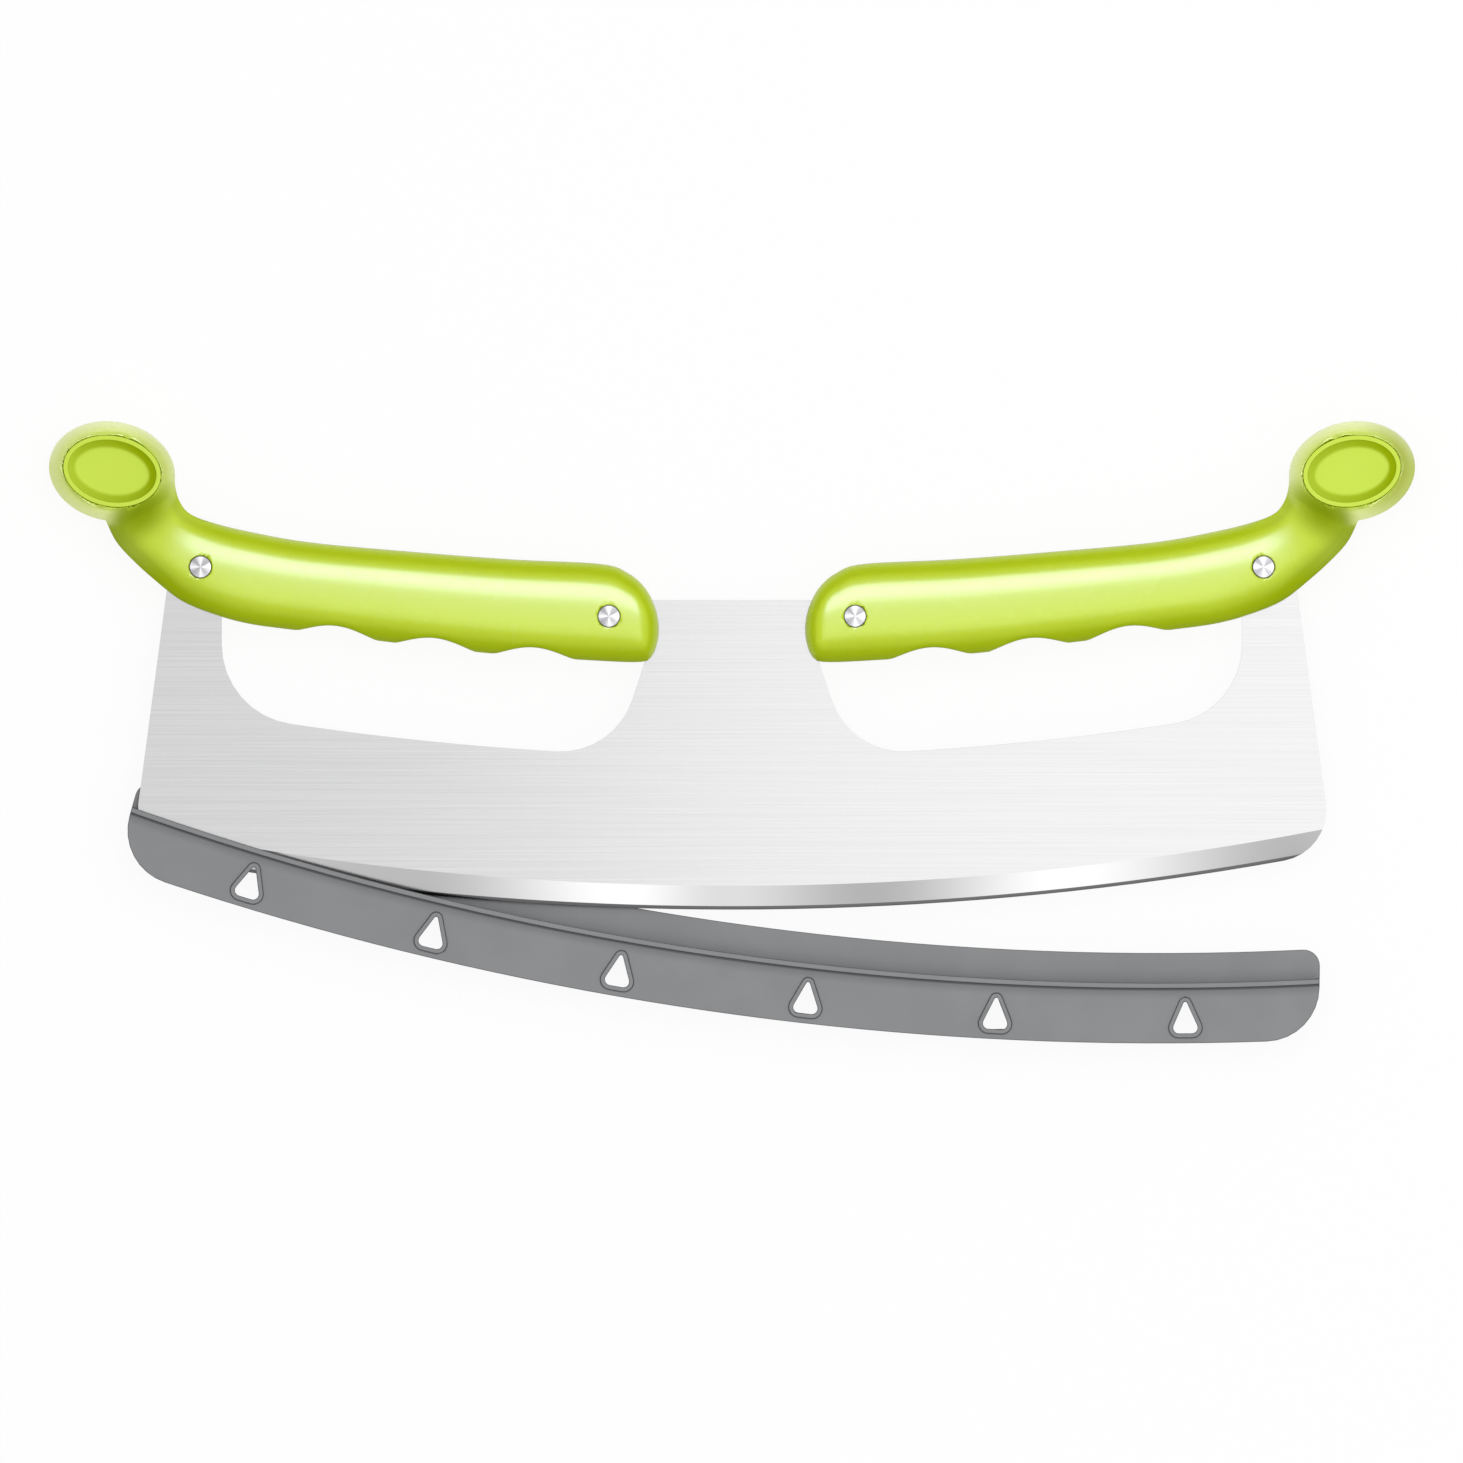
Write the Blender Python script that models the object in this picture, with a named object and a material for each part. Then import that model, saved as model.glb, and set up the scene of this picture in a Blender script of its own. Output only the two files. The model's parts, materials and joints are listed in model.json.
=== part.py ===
"""Two-handled pizza rocker knife with its edge guard tipped off the blade.

The knife lies on its back: +X to the right, +Y from the edge towards the handles, +Z out of the front face.
Outlines are laid out from the middle of the blade's top edge, and the whole is then moved so that the
origin is below the middle of its box. A half outline is given for the right side and mirrored for the left.
"""

import math

import bmesh
import bpy
from mathutils import Matrix, Vector

MM = 0.001

# Gap kept between pieces that touch
GAP = 0.3 * MM

# Blade plate, measured down from its top edge
BLADE_THICKNESS = 2.0 * MM
BLADE_DEPTH = 80.5 * MM
BLADE_TOP_HALF_WIDTH = 147.3 * MM
BLADE_SIDE_LEAN = math.radians(7.6)
BLADE_CORNER_RADIUS = 13.3 * MM
EDGE_RADIUS = 816.7 * MM
BEVEL_HEIGHT = 6.2 * MM
HONED_HEIGHT = 0.9 * MM
HONED_THICKNESS = 0.7 * MM
EDGE_THICKNESS = 0.2 * MM

# Finger openings in the blade
WEB_HEIGHT = 39.8 * MM
OPENING_COLUMN = 14.7 * MM
OPENING_INNER = Vector((20.6 * MM, -9.9 * MM))
OPENING_INNER_LEAN = math.radians(18.4)
OPENING_OUTER_TOP = -0.8 * MM
OPENING_OUTER_RADIUS = 20.8 * MM
OPENING_INNER_RADIUS = 19.5 * MM
OPENING_TOP_RADIUS = 2.0 * MM

# Upper line of the tang bar that the handles hide, then its outer corner. As in the handle's outline below,
# a point is a share of the blade's top half width and a height in millimetres over the blade's top edge.
TANG_LINE = ((0.156, 0.0), (0.210, 2.2), (0.570, 6.2), (0.760, 9.0), (0.869, 12.6))
TANG_END_HEIGHT = 14.5 * MM
TANG_CORNER_RADIUS = 5.0 * MM

# Handle outline from the inner end to the neck
GRIP_END = (0.1290, -7.3)
TOP_END_CURVE = ((0.1351, -2.1), (0.1534, 3.2), (0.1847, 7.1), (0.2329, 9.4))
TOP_GRIP_CURVE = ((0.3917, 10.6), (0.5682, 12.6), (0.7447, 15.0), (0.8554, 17.9))
LOW_END_CURVE = ((0.1324, -11.6), (0.1419, -14.8), (0.1602, -16.1), (0.2369, -15.8))
LOW_GRIP_CURVE = ((0.4257, -13.9), (0.6022, -11.0), (0.7678, -7.9), (0.8554, -6.1), (0.9233, -3.3))

# Handle outline along the neck, in millimetres from the knob's centre
TOP_NECK_CURVE = ((-25.2, -13.1), (-20.0, -10.9), (-17.5, -7.7), (-16.5, -4.1))
LOW_NECK_CURVE = ((-17.7, -33.5), (-11.7, -28.8), (-6.2, -23.9), (-1.2, -18.5))

# Swell of the grip and the neck
GRIP_HALF_THICKNESS = 9.4 * MM
GRIP_END_ROUND = 12.0 * MM
GRIP_FULLNESS = 2.5
NECK_HALF_THICKNESS = 7.4 * MM
NECK_BLEND = 1.6 * MM

# Where the neck meets the knob and where its outline ends, as shares of the knob's half length and width
UPPER_JOIN = Vector((-1.0, -0.12))
LOWER_JOIN = Vector((0.1, -1.0))
KNOB_FAR_POINT = Vector((0.54, 0.9))

# Finger grooves, cut straight through the lower edge
GROOVE_COUNT = 3
GROOVE_TRIES = 4
GROOVE_START = 51.5 * MM
GROOVE_PITCH = 25.65 * MM
GROOVE_WIDTH = 20.8 * MM
GROOVE_DEPTH = 2.4 * MM
GROOVE_FULLNESS = 1.15

# Knob at the handle's outer end
KNOB_OUTSET = 13.9 * MM
KNOB_HEIGHT = 33.5 * MM
KNOB_CENTRE = Vector((BLADE_TOP_HALF_WIDTH + KNOB_OUTSET, KNOB_HEIGHT))
KNOB_TILT = math.radians(10.4)
KNOB_HALF_THICKNESS = 10.6 * MM
KNOB_ROUND = 3.7 * MM
CAP_LENGTH = 25.6 * MM
CAP_WIDTH = 18.4 * MM
CAP_HEIGHT = 4.6 * MM
CAP_PROUD = 0.4 * MM
CAP_RIM = 1.2 * MM
CAP_CHAMFER = 0.2 * MM
CAP_SLOPE = 2.0 * MM
CAP_RECESS = 2.0 * MM
CAP_KNEE = (0.35, 0.75)

# Two-part rivets
INNER_RIVET = Vector((32.0 * MM, -4.2 * MM))
OUTER_RIVET_INSET = 9.1 * MM
OUTER_RIVET_HEIGHT = 8.6 * MM
OUTER_RIVET = Vector((BLADE_TOP_HALF_WIDTH - OUTER_RIVET_INSET, OUTER_RIVET_HEIGHT))
RIVET_HEAD_RADIUS = 2.9 * MM
RIVET_HEAD_THICKNESS = 1.4 * MM
RIVET_HEAD_CHAMFER = 0.2 * MM
RIVET_PIN_RADIUS = 1.2 * MM
RIVET_SLEEVE_WALL = 0.7 * MM
RIVET_PROUD = 0.1 * MM

# Cored pockets inside each handle half
CORE_COUNT = 3
CORE_TO_RIVET = 11.0 * MM
CORE_WIDTH = 10.0 * MM
CORE_RIB = 3.0 * MM
CORE_DEPTH = 6.2 * MM
CORE_RADIUS = 2.0 * MM

# Edge guard
GUARD_WALL = 1.4 * MM
GUARD_FLOOR = 1.6 * MM
GUARD_EDGE_ROOM = 0.6 * MM
GUARD_SIDE_ROOM = 0.6 * MM
GUARD_SLIDE = 0.2 * MM
GUARD_FRONT_HEIGHT = 15.7 * MM
GUARD_BACK_HEIGHT = 23.5 * MM
GUARD_END_WALL = 1.2 * MM
GUARD_LOWER_RADIUS = 14.2 * MM
GUARD_UPPER_RADIUS = 4.2 * MM
GUARD_LIP_HEIGHT = 1.4 * MM
GUARD_RELIEF = 0.5 * MM
HINGE_OUTSET = 17.0 * MM
GUARD_OPEN_ANGLE = math.radians(8.22)

# Drain holes in the guard
DRAIN_COUNT = 6
DRAIN_PITCH = 49.75 * MM
DRAIN_HEIGHT = 8.9 * MM
DRAIN_WIDTH = 7.9 * MM
DRAIN_UP = 2.6 * MM
DRAIN_TIP_RADIUS = 0.5 * MM
DRAIN_BASE_RADIUS = 1.45 * MM
DRAIN_RIM = 1.2 * MM

# Fineness of curves
ARC_STEPS = 36
CORNER_STEPS = 8
ROUND_STEPS = 20
OVAL_STEPS = 40
RUNG_STEPS = 8
END_RUNGS = 6
GRIP_RUNGS = 34
THINNING_RUNGS = 5
NECK_RUNGS = 6
KNOB_RUNGS = 10
CURVE_SAMPLES = 12

# Derived sizes
HALF_BLADE = BLADE_THICKNESS / 2
ARC_CENTRE = Vector((0.0, EDGE_RADIUS - BLADE_DEPTH))
OPENING_RADIUS = EDGE_RADIUS - WEB_HEIGHT
MID_HEIGHT = KNOB_HALF_THICKNESS + CAP_PROUD
KNOB_LONG = CAP_LENGTH / 2 + KNOB_ROUND
KNOB_SHORT = CAP_WIDTH / 2 + KNOB_ROUND
SLEEVE_RADIUS = RIVET_PIN_RADIUS + GAP + RIVET_SLEEVE_WALL
HOLE_RADIUS = SLEEVE_RADIUS + GAP
SLOT_HALF = HALF_BLADE + GAP
CORE_ROOM = OUTER_RIVET.x - INNER_RIVET.x - 2 * CORE_TO_RIVET
CORE_LENGTH = (CORE_ROOM - (CORE_COUNT - 1) * CORE_RIB) / CORE_COUNT
GUARD_HALF = SLOT_HALF + GUARD_WALL
GUARD_RADIUS = EDGE_RADIUS + GUARD_EDGE_ROOM + GUARD_FLOOR
GUARD_CENTRE = ARC_CENTRE + Vector((GUARD_SLIDE, 0.0))
LIP_RADIUS = GUARD_RADIUS - GUARD_FRONT_HEIGHT
BACK_RADIUS = GUARD_RADIUS - GUARD_BACK_HEIGHT

# How far cutters run past what they cut
OUTSIDE = 40.0 * MM

COLOURS = {
    "blade_steel": ((0.80, 0.80, 0.80), 0.32, 1.0),
    "rivet_steel": ((0.78, 0.78, 0.80), 0.25, 1.0),
    "grip_plastic": ((0.54, 0.75, 0.05), 0.28, 0.0),
    "cap_plastic": ((0.60, 0.80, 0.08), 0.35, 0.0),
    "guard_plastic": ((0.26, 0.26, 0.27), 0.45, 0.0),
}


def clear_scene():
    for thing in list(bpy.data.objects):
        bpy.data.objects.remove(thing, do_unlink=True)


def make_material(name, slot):
    colour, roughness, metallic = COLOURS[slot]
    material = bpy.data.materials.new(name)
    material.use_nodes = True
    shader = material.node_tree.nodes["Principled BSDF"]
    shader.inputs["Base Color"].default_value = (*colour, 1.0)
    shader.inputs["Roughness"].default_value = roughness
    shader.inputs["Metallic"].default_value = metallic
    return material


def make_object(name, mesh, slot=None):
    thing = bpy.data.objects.new(name, mesh)
    bpy.context.scene.collection.objects.link(thing)
    if slot:
        mesh.materials.append(make_material(name, slot))
    else:
        thing.hide_render = True
        thing.display_type = "WIRE"
    return thing


def shade_round(thing, degrees=30):
    thing.data.shade_smooth()
    thing.data.set_sharp_from_angle(angle=math.radians(degrees))


def mesh_from(name, verts, faces):
    mesh = bpy.data.meshes.new(name)
    mesh.from_pydata([tuple(v) for v in verts], [], faces)
    work = bmesh.new()
    work.from_mesh(mesh)
    bmesh.ops.recalc_face_normals(work, faces=work.faces)
    work.to_mesh(mesh)
    work.free()
    return mesh


def stack_mesh(name, loops):
    """Skin over closed loops of equal length, with a flat face over the first and the last."""
    count = len(loops[0])
    verts = [p for loop in loops for p in loop]
    faces = [list(range(count)), list(range(len(verts) - count, len(verts)))]
    for row in range(len(loops) - 1):
        for i in range(count):
            j = (i + 1) % count
            faces.append((row * count + i, row * count + j, (row + 1) * count + j, (row + 1) * count + i))
    return mesh_from(name, verts, faces)


def prism(name, outline, low, high, slot=None):
    loops = [[(p[0], p[1], z) for p in outline] for z in (low, high)]
    return make_object(name, stack_mesh(name, loops), slot)


def cut(target, *cutters):
    for cutter in cutters:
        boolean = target.modifiers.new(cutter.name, "BOOLEAN")
        boolean.operation = "DIFFERENCE"
        boolean.solver = "EXACT"
        boolean.object = cutter


def mirrored(points):
    return [Vector((-p[0], p[1])) for p in reversed(points)]


def stretched(points):
    """Places from shares of the blade's top half width and heights in millimetres."""
    return [Vector((share * BLADE_TOP_HALF_WIDTH, height * MM)) for share, height in points]


def from_knob(points):
    return [KNOB_CENTRE + Vector(p) * MM for p in points]


def arc_points(centre, radius, start, end, steps):
    turn = (end - start) / steps
    return [centre + radius * Vector((math.cos(start + turn * i), math.sin(start + turn * i)))
            for i in range(steps + 1)]


def short_arc(centre, first, last, steps):
    """Points from first to last about a centre, the short way round."""
    start = math.atan2(first.y - centre.y, first.x - centre.x)
    sweep = math.atan2(last.y - centre.y, last.x - centre.x) - start
    sweep = (sweep + math.pi) % (2 * math.pi) - math.pi
    return arc_points(centre, (first - centre).length, start, start + sweep, steps)


def round_corner(before, corner, after, radius, steps=CORNER_STEPS):
    """The arc that rounds a corner between two straight lines."""
    back = (before - corner).normalized()
    ahead = (after - corner).normalized()
    half = math.acos(max(-1.0, min(1.0, back.dot(ahead)))) / 2
    centre = corner + (back + ahead).normalized() * (radius / math.sin(half))
    reach = radius / math.tan(half)
    return short_arc(centre, corner + back * reach, corner + ahead * reach, steps)


def side_arc_corner(side_point, lean, centre, arc_radius, radius, outside=False):
    """The arc that rounds the corner between a right-hand side line and a big arc below or above it."""
    down = Vector((math.sin(lean), -math.cos(lean)))
    inward = Vector((-math.cos(lean), -math.sin(lean)))
    reach = arc_radius + radius if outside else arc_radius - radius
    start = side_point + inward * radius - centre
    along = start.dot(down)
    travel = -along + math.sqrt(along * along - start.length_squared + reach * reach)
    middle = centre + start + down * travel
    on_side = middle - inward * radius
    on_arc = centre + (middle - centre) * (arc_radius / reach)
    return short_arc(middle, on_side, on_arc, CORNER_STEPS)


def grown(outline, distance):
    """A closed outline moved outwards by a small distance, whichever way it runs."""
    count = len(outline)
    area = sum(outline[i].cross(outline[(i + 1) % count]) for i in range(count))
    sign = 1.0 if area > 0 else -1.0
    result = []
    for i, point in enumerate(outline):
        before = (point - outline[i - 1]).normalized()
        after = (outline[(i + 1) % count] - point).normalized()
        normal_a = Vector((before.y, -before.x)) * sign
        normal_b = Vector((after.y, -after.x)) * sign
        middle = (normal_a + normal_b).normalized()
        result.append(point + middle * (distance / max(0.5, middle.dot(normal_a))))
    return result


def smooth_curve(points, steps, lead_in=None, lead_out=None):
    """Evenly spaced points on a Catmull-Rom curve through a few given points."""
    knots = [lead_in or 2 * points[0] - points[1], *points, lead_out or 2 * points[-1] - points[-2]]
    dense = []
    for i in range(1, len(knots) - 2):
        a, b, c, d = knots[i - 1:i + 3]
        for k in range(CURVE_SAMPLES):
            t = k / CURVE_SAMPLES
            dense.append(0.5 * (2 * b + (c - a) * t + (2 * a - 5 * b + 4 * c - d) * t * t
                                + (3 * b - a - 3 * c + d) * t ** 3))
    dense.append(points[-1])
    lengths = [0.0]
    for first, second in zip(dense, dense[1:]):
        lengths.append(lengths[-1] + (second - first).length)
    result = []
    k = 0
    for i in range(steps + 1):
        want = lengths[-1] * i / steps
        while k < len(dense) - 2 and lengths[k + 1] < want:
            k += 1
        share = (want - lengths[k]) / (lengths[k + 1] - lengths[k])
        result.append(dense[k].lerp(dense[k + 1], share))
    return result


def side_x(y):
    """Half width of the blade plate at a height measured from its top edge."""
    return BLADE_TOP_HALF_WIDTH - y * math.tan(BLADE_SIDE_LEAN)


def blade_half_outline():
    """Right half of the plate, from the top middle round to the bottom middle."""
    top = [Vector((0.0, 0.0)), *stretched(TANG_LINE)]
    end = Vector((side_x(TANG_END_HEIGHT), TANG_END_HEIGHT))
    side = Vector((BLADE_TOP_HALF_WIDTH, 0.0))
    top += round_corner(top[-1], end, side, TANG_CORNER_RADIUS)
    corner = side_arc_corner(side, BLADE_SIDE_LEAN, ARC_CENTRE, EDGE_RADIUS, BLADE_CORNER_RADIUS)
    bottom = short_arc(ARC_CENTRE, corner[-1], Vector((0.0, -BLADE_DEPTH)), ARC_STEPS // 2)
    return top + corner + bottom[1:]


def blade_outline():
    half = blade_half_outline()
    return half + mirrored(half[1:-1])


def opening_outline(side):
    """Finger opening: a straight outer side, a slanted inner side and a bottom that follows the edge."""
    outer_top = Vector((BLADE_TOP_HALF_WIDTH - OPENING_COLUMN, OPENING_OUTER_TOP))
    outer = side_arc_corner(outer_top, 0.0, ARC_CENTRE, OPENING_RADIUS, OPENING_OUTER_RADIUS)
    inner_top = Vector((-OPENING_INNER.x, OPENING_INNER.y))
    inner = mirrored(side_arc_corner(inner_top, -OPENING_INNER_LEAN, ARC_CENTRE, OPENING_RADIUS,
                                     OPENING_INNER_RADIUS))
    bottom = short_arc(ARC_CENTRE, outer[-1], inner[0], ARC_STEPS // 2)
    points = round_corner(OPENING_INNER, outer_top, outer[0], OPENING_TOP_RADIUS, 4)
    points += outer + bottom[1:-1] + inner
    points += round_corner(inner[-1], OPENING_INNER, outer_top, OPENING_TOP_RADIUS, 4)
    return points if side > 0 else mirrored(points)


def bevel_cutter(face):
    """Everything outside the ground faces on one side of the edge, swept along the edge's arc."""
    slope = (HALF_BLADE - HONED_THICKNESS / 2) / (BEVEL_HEIGHT - HONED_HEIGHT)
    profile = (
        (EDGE_RADIUS - BEVEL_HEIGHT - GAP, HALF_BLADE + GAP * slope),
        (EDGE_RADIUS - HONED_HEIGHT, HONED_THICKNESS / 2),
        (EDGE_RADIUS, EDGE_THICKNESS / 2),
        (EDGE_RADIUS + BEVEL_HEIGHT, EDGE_THICKNESS / 2),
        (EDGE_RADIUS + BEVEL_HEIGHT, OUTSIDE),
        (EDGE_RADIUS - BEVEL_HEIGHT - GAP, OUTSIDE),
    )
    reach = math.asin((side_x(-BLADE_DEPTH) + OUTSIDE) / EDGE_RADIUS)
    loops = []
    for i in range(ARC_STEPS + 5):
        turn = -math.pi / 2 - reach + 2 * reach * i / (ARC_STEPS + 4)
        ray = Vector((math.cos(turn), math.sin(turn)))
        loops.append([(*(ARC_CENTRE + ray * r), MID_HEIGHT + face * z) for r, z in profile])
    return make_object(f"bevel_cutter_{face}", stack_mesh("bevel_cutter", loops))


def rivet_places():
    """Name, plan position and side of the four rivets."""
    return [(f"{word}_{place}", Vector((side * at.x, at.y)), side)
            for word, side in (("left", -1), ("right", 1))
            for place, at in (("outer", OUTER_RIVET), ("inner", INNER_RIVET))]


def circle(at, radius, steps=ROUND_STEPS):
    return arc_points(at, radius, 0.0, 2 * math.pi, steps)[:-1]


def make_blade():
    low, high = MID_HEIGHT - HALF_BLADE, MID_HEIGHT + HALF_BLADE
    blade = prism("blade", blade_outline(), low, high, "blade_steel")
    for side in (-1, 1):
        cut(blade, prism(f"opening_cutter_{side}", opening_outline(side), low - OUTSIDE, high + OUTSIDE))
    for name, at, _ in rivet_places():
        cut(blade, prism(f"blade_hole_{name}", circle(at, HOLE_RADIUS), low - OUTSIDE, high + OUTSIDE))
    cut(blade, bevel_cutter(1), bevel_cutter(-1))
    return blade


def oval_point(angle, long_radius, short_radius, inset=0.0):
    """A point of the knob's tilted oval, moved inwards along its normal."""
    point = Vector((long_radius * math.cos(angle), short_radius * math.sin(angle)))
    normal = Vector((math.cos(angle) / long_radius, math.sin(angle) / short_radius)).normalized()
    return KNOB_CENTRE + Matrix.Rotation(KNOB_TILT, 2) @ (point - normal * inset)


def oval(long_radius, short_radius, inset=0.0):
    return [oval_point(2 * math.pi * i / OVAL_STEPS, long_radius, short_radius, inset)
            for i in range(OVAL_STEPS)]


def oval_angle(point):
    local = Matrix.Rotation(-KNOB_TILT, 2) @ (point - KNOB_CENTRE)
    return math.atan2(local.y / KNOB_SHORT, local.x / KNOB_LONG)


def knob_share(point):
    """0 at the knob's middle, 1 on its outline."""
    local = Matrix.Rotation(-KNOB_TILT, 2) @ (point - KNOB_CENTRE)
    return math.hypot(local.x / KNOB_LONG, local.y / KNOB_SHORT)


def knob_arc(first, last):
    """Evenly turned points on the knob's outline between two angles."""
    return [oval_point(first + (last - first) * i / KNOB_RUNGS, KNOB_LONG, KNOB_SHORT)
            for i in range(KNOB_RUNGS + 1)]


def groove_rise(x):
    """How far the finger grooves lift the lower edge at x."""
    rise = 0.0
    for i in range(GROOVE_COUNT):
        share = (x - GROOVE_START - i * GROOVE_PITCH) / (GROOVE_WIDTH / 2)
        if abs(share) < 1:
            rise += GROOVE_DEPTH * math.cos(share * math.pi / 2) ** GROOVE_FULLNESS
    return rise


def handle_edges():
    """Upper and lower edge of the handle as matched lists, from its inner end to the knob's far side."""
    end = stretched([GRIP_END])[0]
    top_end, top_neck = stretched(TOP_END_CURVE), from_knob(TOP_NECK_CURVE)
    low_end, low_neck = stretched(LOW_END_CURVE), from_knob(LOW_NECK_CURVE)
    top_grip = [top_end[-1], *stretched(TOP_GRIP_CURVE), top_neck[0]]
    low_grip = [low_end[-1], *stretched(LOW_GRIP_CURVE), low_neck[0]]
    half_size = Vector((KNOB_LONG, KNOB_SHORT))
    upper_join, lower_join, far = (oval_angle(KNOB_CENTRE + half_size * share)
                                   for share in (UPPER_JOIN, LOWER_JOIN, KNOB_FAR_POINT))
    upper_arc = knob_arc(upper_join, far - 2 * math.pi if upper_join < 0 else far)
    lower_arc = knob_arc(lower_join, far)
    upper = smooth_curve([end, *top_end], END_RUNGS, low_end[0], top_grip[1])
    upper += smooth_curve(top_grip, GRIP_RUNGS, top_end[-2], top_neck[1])[1:]
    upper += smooth_curve([*top_neck, upper_arc[0]], NECK_RUNGS, top_grip[-2])[1:]
    upper += upper_arc[1:]
    lower = smooth_curve([end, *low_end], END_RUNGS, top_end[0], low_grip[1])
    lower += smooth_curve(low_grip, GRIP_RUNGS, low_end[-2], low_neck[1])[1:]
    lower += smooth_curve([*low_neck, lower_arc[0]], NECK_RUNGS, low_grip[-2])[1:]
    lower += lower_arc[1:]
    return upper, lower


def share_left(top, low):
    """How much of a row across the grip, from its top to its low end, the finger grooves leave."""
    share = 1.0
    for _ in range(GROOVE_TRIES):
        share = 1 - groove_rise(top.lerp(low, share).x) / (top.y - low.y)
    return share


def smooth_step(value):
    value = max(0.0, min(1.0, value))
    return value * value * (3 - 2 * value)


def bulge(share, fullness):
    """Height of a rounded edge: 0 at the rim, 1 where the rounding ends."""
    share = max(0.0, min(1.0, share))
    return (1 - (1 - share) ** fullness) ** (1 / fullness)


def handle_height(point, across, row):
    """Height of the handle's surface over its middle plane."""
    first_neck = END_RUNGS + GRIP_RUNGS - THINNING_RUNGS
    last_neck = END_RUNGS + GRIP_RUNGS + NECK_RUNGS
    thin = smooth_step((row - first_neck) / (last_neck - first_neck))
    body = GRIP_HALF_THICKNESS + (NECK_HALF_THICKNESS - GRIP_HALF_THICKNESS) * thin
    body *= bulge(1 - abs(2 * across - 1), GRIP_FULLNESS)
    body *= bulge((point.x - stretched([GRIP_END])[0].x) / GRIP_END_ROUND, GRIP_FULLNESS)
    body *= 1 - smooth_step((row - last_neck) / KNOB_RUNGS)
    edge = (1 - knob_share(point)) * KNOB_SHORT / KNOB_ROUND
    knob = KNOB_HALF_THICKNESS * bulge(edge, 2.0)
    mix = max(NECK_BLEND - abs(body - knob), 0.0) / NECK_BLEND
    return min(max(body, knob) + mix * mix * NECK_BLEND / 4, KNOB_HALF_THICKNESS)


def handle_rows():
    """Rows of (point, height) across the handle between its two ends."""
    upper, lower = handle_edges()
    rows = []
    for row in range(1, len(upper) - 1):
        line = []
        in_grip = END_RUNGS < row < END_RUNGS + GRIP_RUNGS
        left = share_left(upper[row], lower[row]) if in_grip else 1.0
        for i in range(RUNG_STEPS + 1):
            across = left * (1 - math.cos(math.pi * i / RUNG_STEPS)) / 2
            point = upper[row].lerp(lower[row], across)
            height = GAP / 2
            if 0 < i < RUNG_STEPS:
                height = max(height, handle_height(point, across, row))
            line.append((point, height))
        rows.append(line)
    return upper[0], rows, upper[-1]


def surface_height(at):
    """Height of the handle's surface at a place, read from the nearest surface point."""
    _, rows, _ = handle_rows()
    return min((((p - at).length, h) for row in rows for p, h in row))[1]


def half_handle_mesh(name, side, face):
    """Rounded half of a handle, flat on the middle plane."""
    first, rows, last = handle_rows()

    def place(point, height):
        return side * point.x, point.y, MID_HEIGHT + face * height

    verts = [place(first, GAP / 2)]
    for row in rows:
        verts += [place(p, h) for p, h in row]
    verts.append(place(last, GAP / 2))
    width = RUNG_STEPS + 1
    end = len(verts) - 1
    start = [1 + width * k for k in range(len(rows))]
    faces = []
    for i in range(RUNG_STEPS):
        faces.append((0, start[0] + i, start[0] + i + 1))
        faces.append((end, start[-1] + i + 1, start[-1] + i))
    for a, b in zip(start, start[1:]):
        faces += [(a + i, b + i, b + i + 1, a + i + 1) for i in range(RUNG_STEPS)]
    faces.append([0, *start, end, *[s + RUNG_STEPS for s in reversed(start)]])
    return mesh_from(name, verts, faces)


def handle_middle(x):
    """Middle line of the grip at x."""
    upper, lower = handle_edges()
    above = min(upper[:END_RUNGS + GRIP_RUNGS], key=lambda p: abs(p.x - x))
    below = min(lower[:END_RUNGS + GRIP_RUNGS], key=lambda p: abs(p.x - x))
    return (above.y + below.y + groove_rise(below.x)) / 2


def core_outline(index, side):
    """A cored pocket inside the handle, between the two rivets."""
    left = INNER_RIVET.x + CORE_TO_RIVET + index * (CORE_LENGTH + CORE_RIB)
    right = left + CORE_LENGTH
    corners = [Vector((x, handle_middle(x) + up * CORE_WIDTH / 2))
               for x, up in ((left, -1), (right, -1), (right, 1), (left, 1))]
    points = []
    for i in range(4):
        points += round_corner(corners[i - 1], corners[i], corners[(i + 1) % 4], CORE_RADIUS, 3)
    return points if side > 0 else mirrored(points)


def between(name, outline, face, low, high):
    """A cutter between two heights over the middle plane, on the front or the back side."""
    ends = sorted((MID_HEIGHT + face * low, MID_HEIGHT + face * high))
    return prism(name, outline, *ends)


def make_half_handle(name, side, face):
    handle = make_object(name, half_handle_mesh(name, side, face), "grip_plastic")
    shade_round(handle)
    tang = between(f"{name}_tang_cutter", grown(blade_outline(), GAP), face, -OUTSIDE, HALF_BLADE + GAP)
    plug = grown(opening_outline(side), -GAP)
    cut(tang, prism(f"{name}_opening_plug", plug, -OUTSIDE * 2, OUTSIDE * 2))
    cut(handle, tang)
    for i in range(CORE_COUNT):
        cut(handle, between(f"{name}_core_{i}", core_outline(i, side), face, -OUTSIDE, CORE_DEPTH))
    for place, at in (("outer", OUTER_RIVET), ("inner", INNER_RIVET)):
        spot = Vector((side * at.x, at.y))
        low = surface_height(at) + RIVET_PROUD - RIVET_HEAD_THICKNESS - GAP
        seat = circle(spot, RIVET_HEAD_RADIUS + GAP)
        cut(handle, between(f"{name}_{place}_hole", circle(spot, HOLE_RADIUS), face, -OUTSIDE, OUTSIDE))
        cut(handle, between(f"{name}_{place}_seat", seat, face, low, OUTSIDE))
    pocket = oval(CAP_LENGTH / 2, CAP_WIDTH / 2, -GAP)
    if side < 0:
        pocket = mirrored(pocket)
    floor = KNOB_HALF_THICKNESS + CAP_PROUD - CAP_HEIGHT - GAP
    cut(handle, between(f"{name}_cap_cutter", pocket, face, floor, OUTSIDE))
    return handle


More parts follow.
